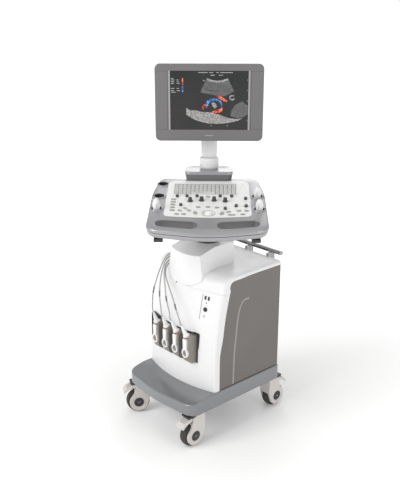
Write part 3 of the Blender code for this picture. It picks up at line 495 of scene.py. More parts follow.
def glow_material(name, stops, scale, detail, stretch):
    """A lit patch of the display whose speckle runs through the colour stops."""
    made = bpy.data.materials.new(name)
    made.use_nodes = True
    tree = made.node_tree
    shader = tree.nodes["Principled BSDF"]
    shader.inputs["Base Color"].default_value = (0.004, 0.004, 0.005, 1.0)
    shader.inputs["Roughness"].default_value = 0.2
    shader.inputs["Emission Strength"].default_value = 1.0
    colour = ramp_node(tree, noise_node(tree, scale, detail, stretch), stops)
    tree.links.new(colour, shader.inputs["Emission Color"])
    return made


# Each finish as (record slot, colour, roughness, further settings)
FINISH_TABLE = {
    "white": ("white_plastic", (0.80, 0.80, 0.80), 0.40, {"grain": (1400, 0.05), "variation": 0.012}),
    "key_white": ("white_plastic", (0.66, 0.66, 0.65), 0.45, {"grain": (2200, 0.10)}),
    "panel_white": ("white_plastic", (0.80, 0.80, 0.79), 0.42, {"grain": (1800, 0.08), "variation": 0.015}),
    "grey": ("console_grey", (0.36, 0.36, 0.37), 0.34,
             {"metallic": 0.45, "coat": 0.25, "grain": (2600, 0.05)}),
    "side": ("side_grey", (0.150, 0.139, 0.131), 0.46, {"grain": (1100, 0.22), "variation": 0.05}),
    "base": ("base_grey", (0.225, 0.23, 0.24), 0.25,
             {"metallic": 0.35, "coat": 0.5, "grain": (2600, 0.02), "variation": 0.008, "smear": 0.015}),
    # This finish is about twice as light as the side panel: a painted highlight along the crease's edge.
    "crease_painted_highlight": ("side_grey", (0.30, 0.285, 0.27), 0.40, {"grain": (1500, 0.10), "variation": 0.02}),
    "bezel": ("bezel_grey", (0.150, 0.145, 0.147), 0.42, {"grain": (1700, 0.14), "variation": 0.03}),
    "bezel_light": ("bezel_grey", (0.33, 0.32, 0.32), 0.36, {"grain": (1700, 0.06)}),
    "dark": ("dark_plastic", (0.030, 0.030, 0.031), 0.45, {"grain": (1500, 0.18), "variation": 0.08}),
    "knob": ("dark_plastic", (0.060, 0.060, 0.062), 0.38, {"grain": (1900, 0.10), "variation": 0.06}),
    "screen": ("screen_glass", (0.008, 0.008, 0.010), 0.10, {"grain": (300, 0.01)}),
    "taupe": ("plug_taupe", (0.265, 0.240, 0.215), 0.50, {"grain": (1300, 0.20), "variation": 0.05}),
    "warm": ("castor_white", (0.60, 0.565, 0.54), 0.42,
             {"grain": (1200, 0.12), "variation": 0.04, "wear": 0.3}),
    "tyre": ("tyre_rubber", (0.040, 0.037, 0.035), 0.68,
             {"grain": (800, 0.45), "variation": 0.18, "wear": 0.25}),
    "steel": ("steel", (0.52, 0.53, 0.54), 0.30,
              {"metallic": 1.0, "grain": (900, 0.12), "stretch": (1, 1, 0.06)}),
    "key": ("key_grey", (0.36, 0.355, 0.35), 0.46, {"grain": (2000, 0.12), "variation": 0.04}),
    "mark": ("key_grey", (0.11, 0.11, 0.11), 0.5, {"grain": (2000, 0.05)}),
    "lead": ("lead_grey", (0.38, 0.38, 0.37), 0.44, {"grain": (1500, 0.12), "variation": 0.04}),
    "sleeve": ("lead_grey", (0.16, 0.16, 0.16), 0.5, {"grain": (1500, 0.12)}),
    "pink": ("white_plastic", (0.72, 0.62, 0.60), 0.45, {"grain": (1500, 0.08)}),
}


# Each lit finish as (colour stops, speckle scale, detail, stretch)
GLOW_TABLE = {
    "echo": (((0.30, (0.015, 0.015, 0.016)), (0.50, (0.10, 0.10, 0.10)), (0.72, (0.30, 0.30, 0.30))),
             260.0, 6.0, (1.0, 1.0, 2.4)),
    "echo_bright": (((0.30, (0.12, 0.115, 0.11)), (0.55, (0.36, 0.35, 0.34)), (0.75, (0.80, 0.78, 0.75))),
                    210.0, 6.0, (1.6, 1.0, 1.0)),
    "flow_warm": (((0.35, (0.25, 0.01, 0.015)), (0.50, (0.80, 0.06, 0.03)), (0.68, (1.0, 0.42, 0.20))),
                  120.0, 3.0, None),
    "flow_cool": (((0.35, (0.01, 0.03, 0.22)), (0.52, (0.02, 0.20, 0.62)), (0.70, (0.15, 0.62, 0.85))),
                  120.0, 3.0, None),
    "readout": (((0.40, (0.25, 0.27, 0.28)), (0.60, (0.60, 0.62, 0.62))), 600.0, 2.0, None),
    "field": (((0.35, (0.004, 0.006, 0.005)), (0.65, (0.012, 0.013, 0.010))), 8.0, 2.0, None),
}


def make_finishes():
    finishes = {}
    for name, (_, colour, roughness, more) in FINISH_TABLE.items():
        finishes[name] = finish_material(name, colour, roughness, **more)
    for name, settings in GLOW_TABLE.items():
        finishes[name] = glow_material(name, *settings)
    return finishes


FINISHES = make_finishes()
SLOT_OF = {name: row[0] for name, row in FINISH_TABLE.items()}
SLOT_OF.update({name: "screen_glass" for name in GLOW_TABLE})


# ---------------------------------------------------------------- camera, light and floor

CAMERA_PLACE = (2.0340, -1.8719, 1.6726)
CAMERA_LINE = (-0.7025, 0.6312, -0.3286)
CAMERA_LENS = 54.0

# Each lamp as (name, place, aim, size in metres, power in watts)
LAMPS = (("key_light", (-0.6, -3.2, 2.9), (0, 0, 0.6), 2.2, 78.0),
         ("top_light", (0.3, 0.2, 3.6), (0, 0, 0.8), 2.4, 8.0),
         ("side_light", (3.2, 0.4, 1.7), (0, 0, 0.6), 1.6, 20.0),
         ("rear_light", (-2.4, 2.6, 2.2), (0, 0, 0.7), 1.8, 20.0))


def aimed(name, data, place, line):
    """Puts a camera or lamp in place, looking along a line."""
    made = bpy.data.objects.new(name, data)
    made.location = place
    made.rotation_mode = "QUATERNION"
    made.rotation_quaternion = Vector(line).to_track_quat("-Z", "Y")
    bpy.context.scene.collection.objects.link(made)
    return made


def make_camera():
    data = bpy.data.cameras.new("camera")
    data.lens = CAMERA_LENS
    data.sensor_width = 36.0
    bpy.context.scene.camera = aimed("camera", data, CAMERA_PLACE, CAMERA_LINE)


def make_lamps():
    for name, place, aim, size, power in LAMPS:
        light = bpy.data.lights.new(name, "AREA")
        light.size = size
        light.energy = power
        aimed(name, light, place, Vector(aim) - Vector(place))


def make_world():
    """A white surround, a little brighter where the camera sees it than as a light."""
    world = bpy.data.worlds.new("studio")
    world.use_nodes = True
    tree = world.node_tree
    back = tree.nodes["Background"]
    back.inputs["Color"].default_value = (1.0, 1.0, 1.0, 1.0)
    seen = tree.nodes.new("ShaderNodeLightPath").outputs["Is Camera Ray"]
    strength = tree.nodes.new("ShaderNodeMapRange")
    strength.inputs["To Min"].default_value = 0.60
    strength.inputs["To Max"].default_value = 1.05
    tree.links.new(seen, strength.inputs["Value"])
    tree.links.new(strength.outputs["Result"], back.inputs["Strength"])
    bpy.context.scene.world = world
    bpy.context.scene.view_settings.view_transform = "Standard"


def make_floor():
    """Pale paper that glows a little, more so away from the object."""
    builder = bmesh.new()
    bmesh.ops.create_grid(builder, x_segments=1, y_segments=1, size=14.0)
    floor = bpy.data.objects.new("floor", mesh_from(builder))
    paper = finish_material("floor_paper", (0.90, 0.90, 0.895), 0.8, grain=(60, 0.02), variation=0.004)
    tree = paper.node_tree
    shader = tree.nodes["Principled BSDF"]
    shader.inputs["Emission Color"].default_value = (1.0, 1.0, 1.0, 1.0)
    distance = tree.nodes.new("ShaderNodeVectorMath")
    distance.operation = "LENGTH"
    tree.links.new(tree.nodes.new("ShaderNodeTexCoord").outputs["Object"], distance.inputs[0])
    fade = tree.nodes.new("ShaderNodeMapRange")
    fade.inputs["From Min"].default_value = 0.4
    fade.inputs["From Max"].default_value = 3.0
    fade.inputs["To Min"].default_value = 0.12
    fade.inputs["To Max"].default_value = 0.60
    tree.links.new(distance.outputs["Value"], fade.inputs["Value"])
    tree.links.new(fade.outputs["Result"], shader.inputs["Emission Strength"])
    floor.data.materials.append(paper)
    bpy.context.scene.collection.objects.link(floor)


# ---------------------------------------------------------------- leads

# From each boot up to the neck's port at x = -0.08
LEAD_ROUTES = (
    ((-0.0926, -0.1880, 0.4935), (-0.0975, -0.1770, 0.5537), (-0.0980, -0.1490, 0.6220),
     (-0.1080, -0.1080, 0.6700), (-0.1070, -0.0800, 0.6850), (-0.1060, -0.0600, 0.6905),
     (-0.1010, -0.0495, 0.6918), (-0.0920, -0.0460, 0.6920), (-0.0800, -0.0460, 0.6920)),
    ((-0.0370, -0.1885, 0.4935), (-0.0553, -0.1800, 0.5496), (-0.0740, -0.1580, 0.6100),
     (-0.1030, -0.1110, 0.6585), (-0.1070, -0.0800, 0.6740), (-0.1070, -0.0520, 0.6835),
     (-0.1010, -0.0385, 0.6905), (-0.0920, -0.0350, 0.6920), (-0.0800, -0.0350, 0.6920)),
    ((0.0146, -0.1885, 0.4964), (-0.0127, -0.1810, 0.5445), (-0.0388, -0.1660, 0.5920),
     (-0.0720, -0.1420, 0.6250), (-0.1035, -0.1060, 0.6470), (-0.1080, -0.0750, 0.6630),
     (-0.1080, -0.0430, 0.6765), (-0.1015, -0.0280, 0.6885), (-0.0920, -0.0240, 0.6920),
     (-0.0800, -0.0240, 0.6920)),
    ((0.0740, -0.1885, 0.4860), (0.0512, -0.1860, 0.5216), (0.0281, -0.1790, 0.5516),
     (-0.0200, -0.1610, 0.5890), (-0.0700, -0.1360, 0.6150), (-0.1035, -0.1030, 0.6350),
     (-0.1085, -0.0720, 0.6520), (-0.1085, -0.0350, 0.6690), (-0.1025, -0.0180, 0.6860),
     (-0.0920, -0.0130, 0.6920), (-0.0800, -0.0130, 0.6920)),
)
SLEEVE_SPANS = ((0.080, 0.028), (0.080, 0.026), (0.076, 0.024), (0.064, 0.024))


def boot_line(x, lean):
    """A boot's start, its tip and its direction."""
    start = Vector((x, -0.1700, 0.4200))
    tip = Vector((x + lean, *LEAD_START))
    return start, tip, (tip - start).normalized()


def make_leads():
    place = (CART, "cart")
    for i, (x, lean, route, span) in enumerate(zip(PLUG_X, RELIEF_LEAN, LEAD_ROUTES, SLEEVE_SPANS), 1):
        _, tip, along = boot_line(x, lean)
        leaving = [tip + along * reach for reach in (GAP, 0.006, 0.012)]
        points = smooth_route(leaving + list(route), LEAD_STEP)
        lead = rod("lead_%d" % i, points, LEAD_RADIUS, place, "lead", ["probe_lead_%d" % i])
        fine = smooth_route(points, 0.002)
        first = round(span[0] / 0.002)
        run = fine[first:first + round(span[1] / 0.002)]
        sleeve = rod("lead_sleeve_%d" % i, run, LEAD_RADIUS + 0.0007, place, "sleeve")


# ---------------------------------------------------------------- the body's outer surface

BOW_ANGLE = math.asin((BODY_HALF_WIDTH - BODY_CORNER) / (FRONT_PLAN_RADIUS - BODY_CORNER))
BOW_DEPTH = FRONT_PLAN_RADIUS * (1 - math.cos(BOW_ANGLE))


def rake_angle(z):
    """How far the front leans back at a height."""
    return math.atan(2 * FRONT_RAKE * max(0.0, min(z, SHOULDER_Z) - FRONT_RAKE_START))


def front_line(z):
    """The front's middle line at a height up to the shoulder."""
    rise = max(0.0, z - FRONT_RAKE_START)
    return FRONT_APEX + FRONT_RAKE * rise * rise


def front_face(x, z):
    """Y of the front at (x, z)."""
    return front_line(z) + FRONT_PLAN_RADIUS - math.sqrt(FRONT_PLAN_RADIUS ** 2 - x * x)


def body_path(low, high_y=None, front_steps=20, arc_steps=14):
    """The middle profile from a height up over the shoulder, as (y, z, angle of the normal)."""
    stations = []
    for i in range(front_steps + 1):
        z = low + (SHOULDER_Z - low) * i / front_steps
        stations.append((front_line(z), z, rake_angle(z)))
    lean = rake_angle(SHOULDER_Z)
    radius = (CROWN_Z - SHOULDER_Z) / (1 - math.sin(lean))
    for i in range(1, arc_steps + 1):
        angle = lean + (math.pi / 2 - lean) * i / arc_steps
        stations.append((front_line(SHOULDER_Z) + radius * (math.cos(lean) - math.cos(angle)),
                         SHOULDER_Z + radius * (math.sin(angle) - math.sin(lean)), angle))
    if high_y is not None:
        crown_y = stations[-1][0]
        for i in range(1, 5):
            share = i / 4
            y = crown_y + (SHELF_FRONT - crown_y) * share
            stations.append((y, CROWN_Z + (BODY_TOP - CROWN_Z) * share, math.pi / 2))
        for y in (0.140, 0.190, high_y):
            stations.append((y, BODY_TOP, math.pi / 2))
    return stations


def plan_section(front_steps=18, corner_steps=7):
    """The body's plan as (x, bow, depth) from the -X side round the front to the +X side."""
    right = []
    for i in range(front_steps + 1):
        angle = BOW_ANGLE * i / front_steps
        right.append((FRONT_PLAN_RADIUS * math.sin(angle), FRONT_PLAN_RADIUS * (1 - math.cos(angle)), 0.0))
    corner_y = FRONT_PLAN_RADIUS - (FRONT_PLAN_RADIUS - BODY_CORNER) * math.cos(BOW_ANGLE)
    for i in range(1, corner_steps + 1):
        angle = BOW_ANGLE + (math.pi / 2 - BOW_ANGLE) * i / corner_steps
        depth = corner_y - BODY_CORNER * math.cos(angle) - BOW_DEPTH
        right.append((BODY_HALF_WIDTH - BODY_CORNER + BODY_CORNER * math.sin(angle), BOW_DEPTH, depth))
    return [(-x, bow, depth) for x, bow, depth in reversed(right[1:])] + right


def side_band(y, z):
    """How far the white band at a side runs in from the corner, at a point of the profile."""
    if z > CROWN_Z - 0.0001:
        blend = min(1.0, max(0.0, (y + 0.02) / 0.06))
        return 0.018 + (0.015 - 0.018) * blend
    if z > SHOULDER_Z:
        return 0.037 + (0.018 - 0.037) * (z - SHOULDER_Z) / (CROWN_Z - SHOULDER_Z)
    blend = min(1.0, max(0.0, (z - 0.34) / 0.09))
    return 0.027 + (0.037 - 0.027) * blend * blend * (3 - 2 * blend)


def bow_share(y, z):
    """The front's bow fades out along the flat top."""
    return 1.0 if z < CROWN_Z - 0.0001 else min(1.0, max(0.0, (BODY_REAR - y) / BODY_REAR))


def body_rows(stations):
    """Points of the body's surface, with the bands at both sides."""
    section = plan_section()
    rows = []
    for y, z, angle in stations:
        inward = (math.cos(angle), -math.sin(angle))
        band = side_band(y, z)
        columns = [(-BODY_HALF_WIDTH, BOW_DEPTH, band)] + section + [(BODY_HALF_WIDTH, BOW_DEPTH, band)]
        share = bow_share(y, z)
        rows.append([(x, y + bow * share + depth * inward[0], z + depth * inward[1])
                     for x, bow, depth in columns])
    return rows


def band_edge(stations, margin):
    """The inner edge of the side bands as (y, z) points."""
    edge = []
    for y, z, angle in stations:
        depth = side_band(y, z) + margin
        edge.append((y + BOW_DEPTH * bow_share(y, z) + depth * math.cos(angle), z - depth * math.sin(angle)))
    return edge


def body_core():
    """The body's outside as a solid that clears what rests on it."""
    columns = []
    stations = body_path(0.55, BODY_REAR + 0.02)
    for x, bow, _ in plan_section()[7:-7]:
        column = [(x, y + bow * bow_share(y, z) - GAP * math.cos(angle), z + GAP * math.sin(angle))
                  for y, z, angle in stations]
        columns.append(column + [(x, BODY_REAR + 0.02, 0.55)])
    return loft(columns)


# ---------------------------------------------------------------- small fittings

def face_matrix(place, point, normal, up=(0, 0, 1)):
    """A frame on a surface: z out along the normal, y as near to up as it can be."""
    out = Vector(normal).normalized()
    side = Vector(up).cross(out).normalized()
    turn = Matrix((side, out.cross(side), out)).transposed()
    return place[0] @ frame_matrix(Vector(point), turn)


def screw_head(radius, height):
    """A pan head with a cross recess, standing on z = 0."""
    head = turned([(radius, 0.0), (radius, height * 0.45), (radius * 0.85, height * 0.8),
                   (radius * 0.5, height)], 20)
    arm = radius * 0.62
    slot = radius * 0.14
    return combined(head, cuts=[box((-arm, -slot, height * 0.45), (arm, slot, height * 2)),
                                box((-slot, -arm, height * 0.45), (slot, arm, height * 2))])


def add_screws(name, place, spots, normal, radius=0.0042, finish="steel"):
    """Screw heads at points of the place's frame, all facing the same way."""
    heads = [moved(screw_head(radius, radius * 0.5), face_matrix((Matrix.Identity(4),), spot, normal))
             for spot in spots]
    return piece(name, merged(heads), place, finish)


def ring_mesh(outer, inner, low, high, segments=40):
    return combined(plate(oval(outer, outer, segments), low, high),
                    cuts=[plate(oval(inner, inner, segments), low - 0.01, high + 0.01)])


# ---------------------------------------------------------------- body

def make_base(cart):
    corners = mirrored_corners([(0.0, BASE_FRONT_CORNER - BASE_FRONT_BOW, 0.6),
                                (BASE_HALF_WIDTH, BASE_FRONT_CORNER + 0.004, 0.045),
                                (BASE_HALF_WIDTH, BASE_REAR, 0.018)])
    slope = moved(box((-0.3, -0.3, 0.0), (0.3, 0.0, 0.1)),
                  Matrix.Translation((0, -0.158, BASE_TOP)) @ Matrix.Rotation(math.radians(10.5), 4, "X"))
    hollow = box((-0.125, -0.150, 0.10), (0.125, 0.180, BASE_TOP - 0.012))
    base = combined(plate(rounded_outline(corners, 14), BASE_BOTTOM, BASE_TOP), cuts=[slope, hollow])
    piece("base_shell", base, cart, "base", ["base_cover"], 0.0050, 4, 50)
    ribs = [box((x - 0.0012, -0.150, 0.1420), (x + 0.0012, 0.180, BASE_TOP - 0.0123))
            for x in (-0.07, 0.0, 0.07)]
    piece("base_ribs", merged(ribs), cart, "base")


def make_body(cart):
    foot = BASE_TOP + GAP
    seam_top = SEAM_Z + 2 * GAP
    stations = body_path(foot, BODY_REAR)
    below = [s for s in stations if s[1] < SEAM_Z - 0.004]
    below.append((front_line(SEAM_Z), SEAM_Z, rake_angle(SEAM_Z)))
    above = [(front_line(seam_top), seam_top, rake_angle(seam_top))]
    above += [s for s in stations if s[1] > seam_top + 0.004]
    (low_x, low_z), (high_x, high_z) = RECESS
    opening = plate(rectangle(low_x, low_z, high_x, high_z, 0.006), -0.25, 0.0, "Y")
    front = combined(shell(body_rows(below), WALL), cuts=[opening])
    piece("front_shell", front, cart, "white", ["front_cover"])
    piece("top_shell", shell(body_rows(above), WALL), cart, "white", ["top_cover"])
    recess_walls(cart)

    low = foot + 0.0012
    edge = band_edge(body_path(low, BODY_REAR - 0.0005), 2 * GAP)
    outline = [(y, max(z, low)) for y, z in edge] + [(BODY_REAR - 0.0005, low)]
    for side, sign in (("left", -1), ("right", 1)):
        outer = sign * (BODY_HALF_WIDTH - 0.0012)
        inner = sign * (BODY_HALF_WIDTH - 0.0050)
        panel = plate(outline, min(outer, inner), max(outer, inner), "X")
        piece("side_panel_" + side, panel, cart, "side", ["side_cover_" + side], 0.0012, 2, 50)
        # The ridge is drawn in the lighter crease finish: a painted highlight along the crease.
        crease_painted_highlight = smooth_route([(outer, y, z) for y, z in ((-0.018, low + 0.004), *CREASE_LINE)], 0.006)
        piece("side_crease_" + side, crease_mesh(crease_painted_highlight, sign), cart, "crease_painted_highlight")


def crease_mesh(route, sign):
    """A low ridge, steep on its front side, that runs out to nothing at its top end."""
    rings = []
    count = len(route)
    for i, point in enumerate(route):
        along = (route[min(i + 1, count - 1)] - route[max(i - 1, 0)]).normalized()
        across = Vector((1, 0, 0)).cross(along)
        share = min(1.0, (count - i) / (0.35 * count)) * 0.0030 + 0.00004
        profile = ((-0.0016, -0.0008), (-0.0014, 0.0), (-0.0002, 1.0), (0.0006, 0.9), (0.0060, 0.0),
                   (0.0062, -0.0008))
        ring = []
        for offset, height in profile:
            rise = height * share if height >= 0 else height
            ring.append(point + across * offset + Vector((sign * rise, 0, 0)))
        rings.append(ring)
    return loft(rings)


def recess_walls(cart):
    """The dark frame round the connector recess, which is painted shade on the recess's walls, and the
    sockets behind the plugs.
    """
    (low_x, low_z), (high_x, high_z) = RECESS
    outer = rectangle(low_x - 0.003, low_z - 0.003, high_x + 0.003, high_z + 0.003, 0.008)
    inner = rectangle(low_x + 0.0004, low_z + 0.0004, high_x - 0.0004, high_z - 0.0004, 0.006)
    # Dark lining of the recess's walls: painted shade.
    shadow_frame_mesh = combined(plate(outer, -0.1370, -0.1134, "Y"), cuts=[plate(inner, -0.2, 0.0, "Y")])
    piece("recess_shadow_frame", shadow_frame_mesh, cart, "dark")
    frame["nodes"]["connector_panel"].data.materials.clear()
    frame["nodes"]["connector_panel"].data.materials.append(FINISHES["dark"])


def make_ports(cart):
    """The sockets at the front's right shoulder: two upright ones, a status lamp and a round one."""
    def spot(x, z):
        slope = x / math.sqrt(FRONT_PLAN_RADIUS ** 2 - x * x)
        return face_matrix(cart, (x, front_face(x, z), z), (slope, -1.0, math.tan(rake_angle(z)))), cart[1]

    for i, (x, z) in enumerate(((0.1270, 0.5737), (0.1415, 0.5729)), 1):
        hood = combined(plate(rectangle(-0.0036, -0.0072, 0.0036, 0.0072, 0.0010), -0.0030, 0.0016),
                        cuts=[plate(rectangle(-0.0027, -0.0063, 0.0027, 0.0063, 0.0004), 0.0004, 0.01)])
        piece("data_port_%d" % i, hood, spot(x, z), "dark")
        tongue = box((-0.0014, -0.0054, 0.0003), (0.0001, 0.0054, 0.0012))
        piece("data_port_tongue_%d" % i, tongue, spot(x, z), "mark", bevel=0.0002)
    lamp = turned([(0.0026, -0.0020), (0.0026, 0.0006), (0.0020, 0.0012), (0.0006, 0.0015)], 20)
    piece("status_lamp", lamp, spot(0.1344, 0.5547), "mark")
    socket = turned([(0.0088, -0.0030), (0.0088, 0.0012), (0.0082, 0.0020), (0.0066, 0.0020),
                     (0.0060, 0.0006), (0.0034, 0.0006), (0.0030, 0.0014), (0.0022, 0.0016)], 36)
    piece("round_port", socket, spot(0.1345, 0.5297), "dark")
    groove = smooth_route([(0.1137 + 0.0009 * (0.5851 - z) / 0.0964, front_face(0.114, z) - 0.0001, z)
                           for z in (0.5851, 0.5650, 0.5450, 0.5250, 0.5050, 0.4887)], 0.006)
    rod("door_groove", groove, 0.0009, cart, "mark", resolution=2)
    piece("earth_stud_ring", ring_mesh(0.0042, 0.0032, -0.001, 0.0008, 28), spot(0.1334, 0.5032), "mark")
    stud = turned([(0.0030, -0.001), (0.0030, 0.0022), (0.0022, 0.0030)], 24)
    piece("shoulder_screw", stud, spot(-0.0320, 0.5936), "knob")


def make_neck(cart):
    """The pedestal with its rounded front bib, which hangs over the shoulder."""
    levels = [(0.599, 0.030), (0.602, 0.045), (0.606, 0.058), (0.611, 0.070), (0.616, 0.080), (0.624, 0.090),
              (0.632, 0.096), (0.643, 0.0962), (0.655, 0.095), (0.672, 0.092), (0.690, 0.089),
              (0.706, 0.0865), (0.722, NECK_HALF_WIDTH), (NECK_TOP, NECK_HALF_WIDTH)]
    rings = []
    for z, half in levels:
        front_y = -0.1195 + 0.075 * (z - 0.60)
        back_half = NECK_HALF_WIDTH if z > 0.65 else max(half, 0.060)
        front = [(half * t, front_y + 2.2 * half * half * t * t, z) for t in [i / 14 - 1 for i in range(29)]]
        back = [(back_half - 0.010 + a, NECK_REAR - 0.010 + b, z)
                for a, b in arc_points((0, 0), 0.010, 0, 90, 6)]
        side = [(half, -0.050, z), (half + (back_half - half) / 2, -0.025, z), (back_half, 0.0, z)]
        rings.append(front + side + back + [(-x, y, z) for x, y, z in reversed(side + back)])
    chamfer = moved(box((-0.2, -0.2, 0.0), (0.2, 0.0, 0.1)),
                    Matrix.Translation((0, -0.020, NECK_TOP))
                    @ Matrix.Rotation(math.atan((NECK_TOP - NECK_FRONT_TOP) / 0.085), 4, "X"))
    ports = [drum((-0.085, route[-1][1], route[-1][2]), LEAD_RADIUS + 0.0012, 0.030, "X", 20)
             for route in LEAD_ROUTES]
    neck = combined(loft(rings), cuts=[body_core(), chamfer, *ports])
    piece("neck_shell", neck, cart, "white", ["neck_cover"], 0.0022, 3, 40)
    for i, route in enumerate(LEAD_ROUTES, 1):
        grommet = moved(ring_mesh(0.0052, LEAD_RADIUS + 0.0003, 0.0, 0.0014, 24),
                        Matrix.Translation((-0.0892, route[-1][1], route[-1][2])) @ AXIS_TURN["X"].inverted())
        piece("lead_grommet_%d" % i, grommet, cart, "knob")
    # A thin dark ring round the swivel post's foot: painted shadow in the gap at the column's base.
    ring = moved(ring_mesh(0.0495, 0.0468, 0.0, 0.0022, 56), Matrix.Translation((0, SWIVEL_Y, NECK_TOP)))
    piece("neck_shadow_ring", ring, cart, "dark", bevel=0.0006)


def make_plugs(cart):
    outline = rounded_outline([(PLUG_FRONT_Y, 0.308, 0.026), (PLUG_BACK_Y, 0.308, 0.002),
                               (PLUG_BACK_Y, 0.416, 0.002), (PLUG_FRONT_Y, 0.430, 0.006)], 10)
    for i, (x, lean) in enumerate(zip(PLUG_X, RELIEF_LEAN), 1):
        body = plate(outline, x - PLUG_WIDTH / 2, x + PLUG_WIDTH / 2, "X")
        grooves = [box((low_x, y, 0.335), (high_x, y + 0.0012, 0.402))
                   for low_x, high_x in ((x - PLUG_WIDTH, x - PLUG_WIDTH / 2 + 0.0006),
                                         (x + PLUG_WIDTH / 2 - 0.0006, x + PLUG_WIDTH))
                   for y in (-0.150, -0.145, -0.140)]
        piece("plug_body_%d" % i, combined(body, cuts=grooves), cart, "taupe", ["probe_plug_%d" % i], 0.0016,
              3)
        make_boot(cart, i, x, lean)
        make_lever(cart, i, x)


def make_boot(cart, i, x, lean):
    """The ribbed strain relief above a plug, with its collar, and a dark ring at its foot that is painted
    shadow.
    """
    start, tip, along = boot_line(x, lean)
    length = (tip - start).length
    turn = cart[0] @ Matrix.Translation(start) @ along.to_track_quat("Z", "Y").to_matrix().to_4x4()
    place = (turn, cart[1])
    boot = [(0.0125, 0.004), (0.0119, 0.010)]
    for k in range(6):
        z = 0.012 + 0.0052 * k
        radius = 0.0117 - 0.0085 * (z / length)
        boot += [(radius, z), (radius, z + 0.0026), (radius - 0.0010, z + 0.0031),
                 (radius - 0.0012, z + 0.0047)]
    boot += [(0.0046, length - 0.0016), (0.0038, length - 0.0004)]
    piece("plug_boot_%d" % i, turned(boot, 36), place, "white")
    collar = turned([(0.0131, 0.0035), (0.0134, 0.0050), (0.0134, 0.0080), (0.0128, 0.0094)], 40)
    piece("boot_collar_%d" % i, collar, place, "pink")
    # A dark ring round the boot's foot: painted shadow where the boot meets the plug.
    shadow_ring = turned([(0.0124, 0.0010), (0.0137, 0.0016), (0.0137, 0.0030), (0.0126, 0.0036)], 40)
    piece("boot_gasket_%d" % i, shadow_ring, place, "sleeve")


def teardrop(half_x, half_y, pinch, middle, segments):
    """An oval about (0, middle) that is narrower towards its top."""
    angles = [2 * math.pi * k / segments for k in range(segments)]
    return [(half_x * math.cos(a) * (1 - pinch * math.sin(a)), half_y * math.sin(a) + middle) for a in angles]


def make_lever(cart, i, x):
    """The locking lever: a stem with a teardrop loop, and its pivot screw."""
    pivot = Vector((x, PLUG_FRONT_Y - GAP, LEVER_PIVOT_Z))
    stem = rounded_outline([(-0.0085, -0.020, 0.002), (0.0085, -0.020, 0.002), (0.0095, 0.028, 0.004),
                            (-0.0095, 0.028, 0.004)], 6)
    drop = teardrop(0.0160, 0.0190, 0.10, -0.031, 48)
    hole = teardrop(0.0110, 0.0138, 0.24, -0.0315, 40)
    lever = combined(plate(stem, -0.0080, 0.0, "Y"), cuts=[plate(hole, -0.02, 0.01, "Y")],
                     adds=[plate(drop, -0.0080, 0.0, "Y")])
    place = (cart[0] @ Matrix.Translation(pivot), "lever_%d" % i)
    piece("lever_body_%d" % i, lever, place, "white", ["lock_lever_%d" % i], 0.0014, 3, 45)
    backing = plate([(a * 0.98, b) for a, b in hole], -0.0022, -0.0006, "Y")
    piece("lever_well_%d" % i, backing, place, "taupe")
    cap = moved(turned([(0.0046, 0.0), (0.0046, 0.0005), (0.0036, 0.0009)], 28),
                Matrix.Translation((0, -0.0080, 0)) @ AXIS_TURN["Y"].inverted())
    piece("lever_cap_%d" % i, cap, place, "white")


def make_rear(cart):
    half = BODY_HALF_WIDTH - 0.0062
    face = BODY_REAR - 0.002
    for name, finish in (("rear_cover", "side"), ("mains_inlet", "dark"), ("power_switch", "tyre"),
                         ("cooling_fan", "dark"), ("chassis_frame", "steel"), ("power_supply", "steel"),
                         ("board_cage", "steel")):
        repaint(name, finish)
    spots = [(sign * (half - 0.010), face + GAP, z) for sign in (-1, 1) for z in (0.230, 0.430, 0.630)]
    add_screws("rear_screws", cart, spots, (0, 1, 0))
    fan_x, fan_z = FAN_MIDDLE
    for k, radius in enumerate((0.040, 0.031, 0.022, 0.013)):
        ring = [(fan_x + a, face + 0.0020, fan_z + b) for a, b in oval(radius, radius, 44)]
        rod("fan_guard_ring_%d" % k, ring, 0.0010, cart, "steel", cyclic=True, resolution=2)
    for k in range(4):
        angle = math.pi / 4 + math.pi / 2 * k
        spoke = [(fan_x + r * math.cos(angle), face + 0.0034, fan_z + r * math.sin(angle))
                 for r in (0.010, 0.047)]
        rod("fan_guard_spoke_%d" % k, spoke, 0.0010, cart, "steel", resolution=2)
    diagonal = 0.049 * 0.707
    spots = [(fan_x + a * diagonal, face + GAP, fan_z + b * diagonal)
             for a, b in ((1, 1), (-1, 1), (-1, -1), (1, -1))]
    add_screws("fan_screws", cart, spots, (0, 1, 0), 0.0034)
    pins = [box((x - 0.001, face - 0.0115, 0.2630), (x + 0.001, face - 0.002, 0.2680))
            for x in (0.084, 0.090, 0.096)]
    piece("inlet_pins", merged(pins), cart, "steel")

    bar_y, bar_z = HANDLE_MIDDLE
    bar = [(bar_y + a, bar_z + b) for a, b in oval(0.0105, 0.0085, 28)]
    brackets = [box((x - 0.006, BODY_REAR + GAP, 0.640), (x + 0.006, 0.275, 0.6695))
                for x in (-0.120, 0.0, 0.120)]
    handle = combined(plate(bar, -0.166, 0.166, "X"), adds=brackets)
    piece("handle_bar", handle, cart, "grey", ["rear_handle"], 0.0022, 3, 45)
    # Dark strips on the bar's underside between the brackets: painted shadow of the gap below the bar.
    for k, (low, high) in enumerate(((-0.105, -0.015), (0.015, 0.105))):
        under = [(bar_y + a, bar_z + b) for a, b in oval(0.0111, 0.0091, 28) if b < 0.0032]
        piece("handle_grip_%d" % k, plate(under, low, high, "X"), cart, "dark", bevel=0.0008)


def repaint(name, finish):
    """Gives a CAD node its finish, with nothing about its shape changed."""
    materials = frame["nodes"][name].data.materials
    materials.clear()
    materials.append(FINISHES[finish])


# ---------------------------------------------------------------- castors

def make_castor(name):
    matrix = castor_matrix(name)
    centre = Vector((0, -CASTOR_TRAIL, WHEEL_RADIUS))
    make_fork(name, matrix, centre)
    make_wheel(name, matrix, centre)
    make_pedal(name, matrix)


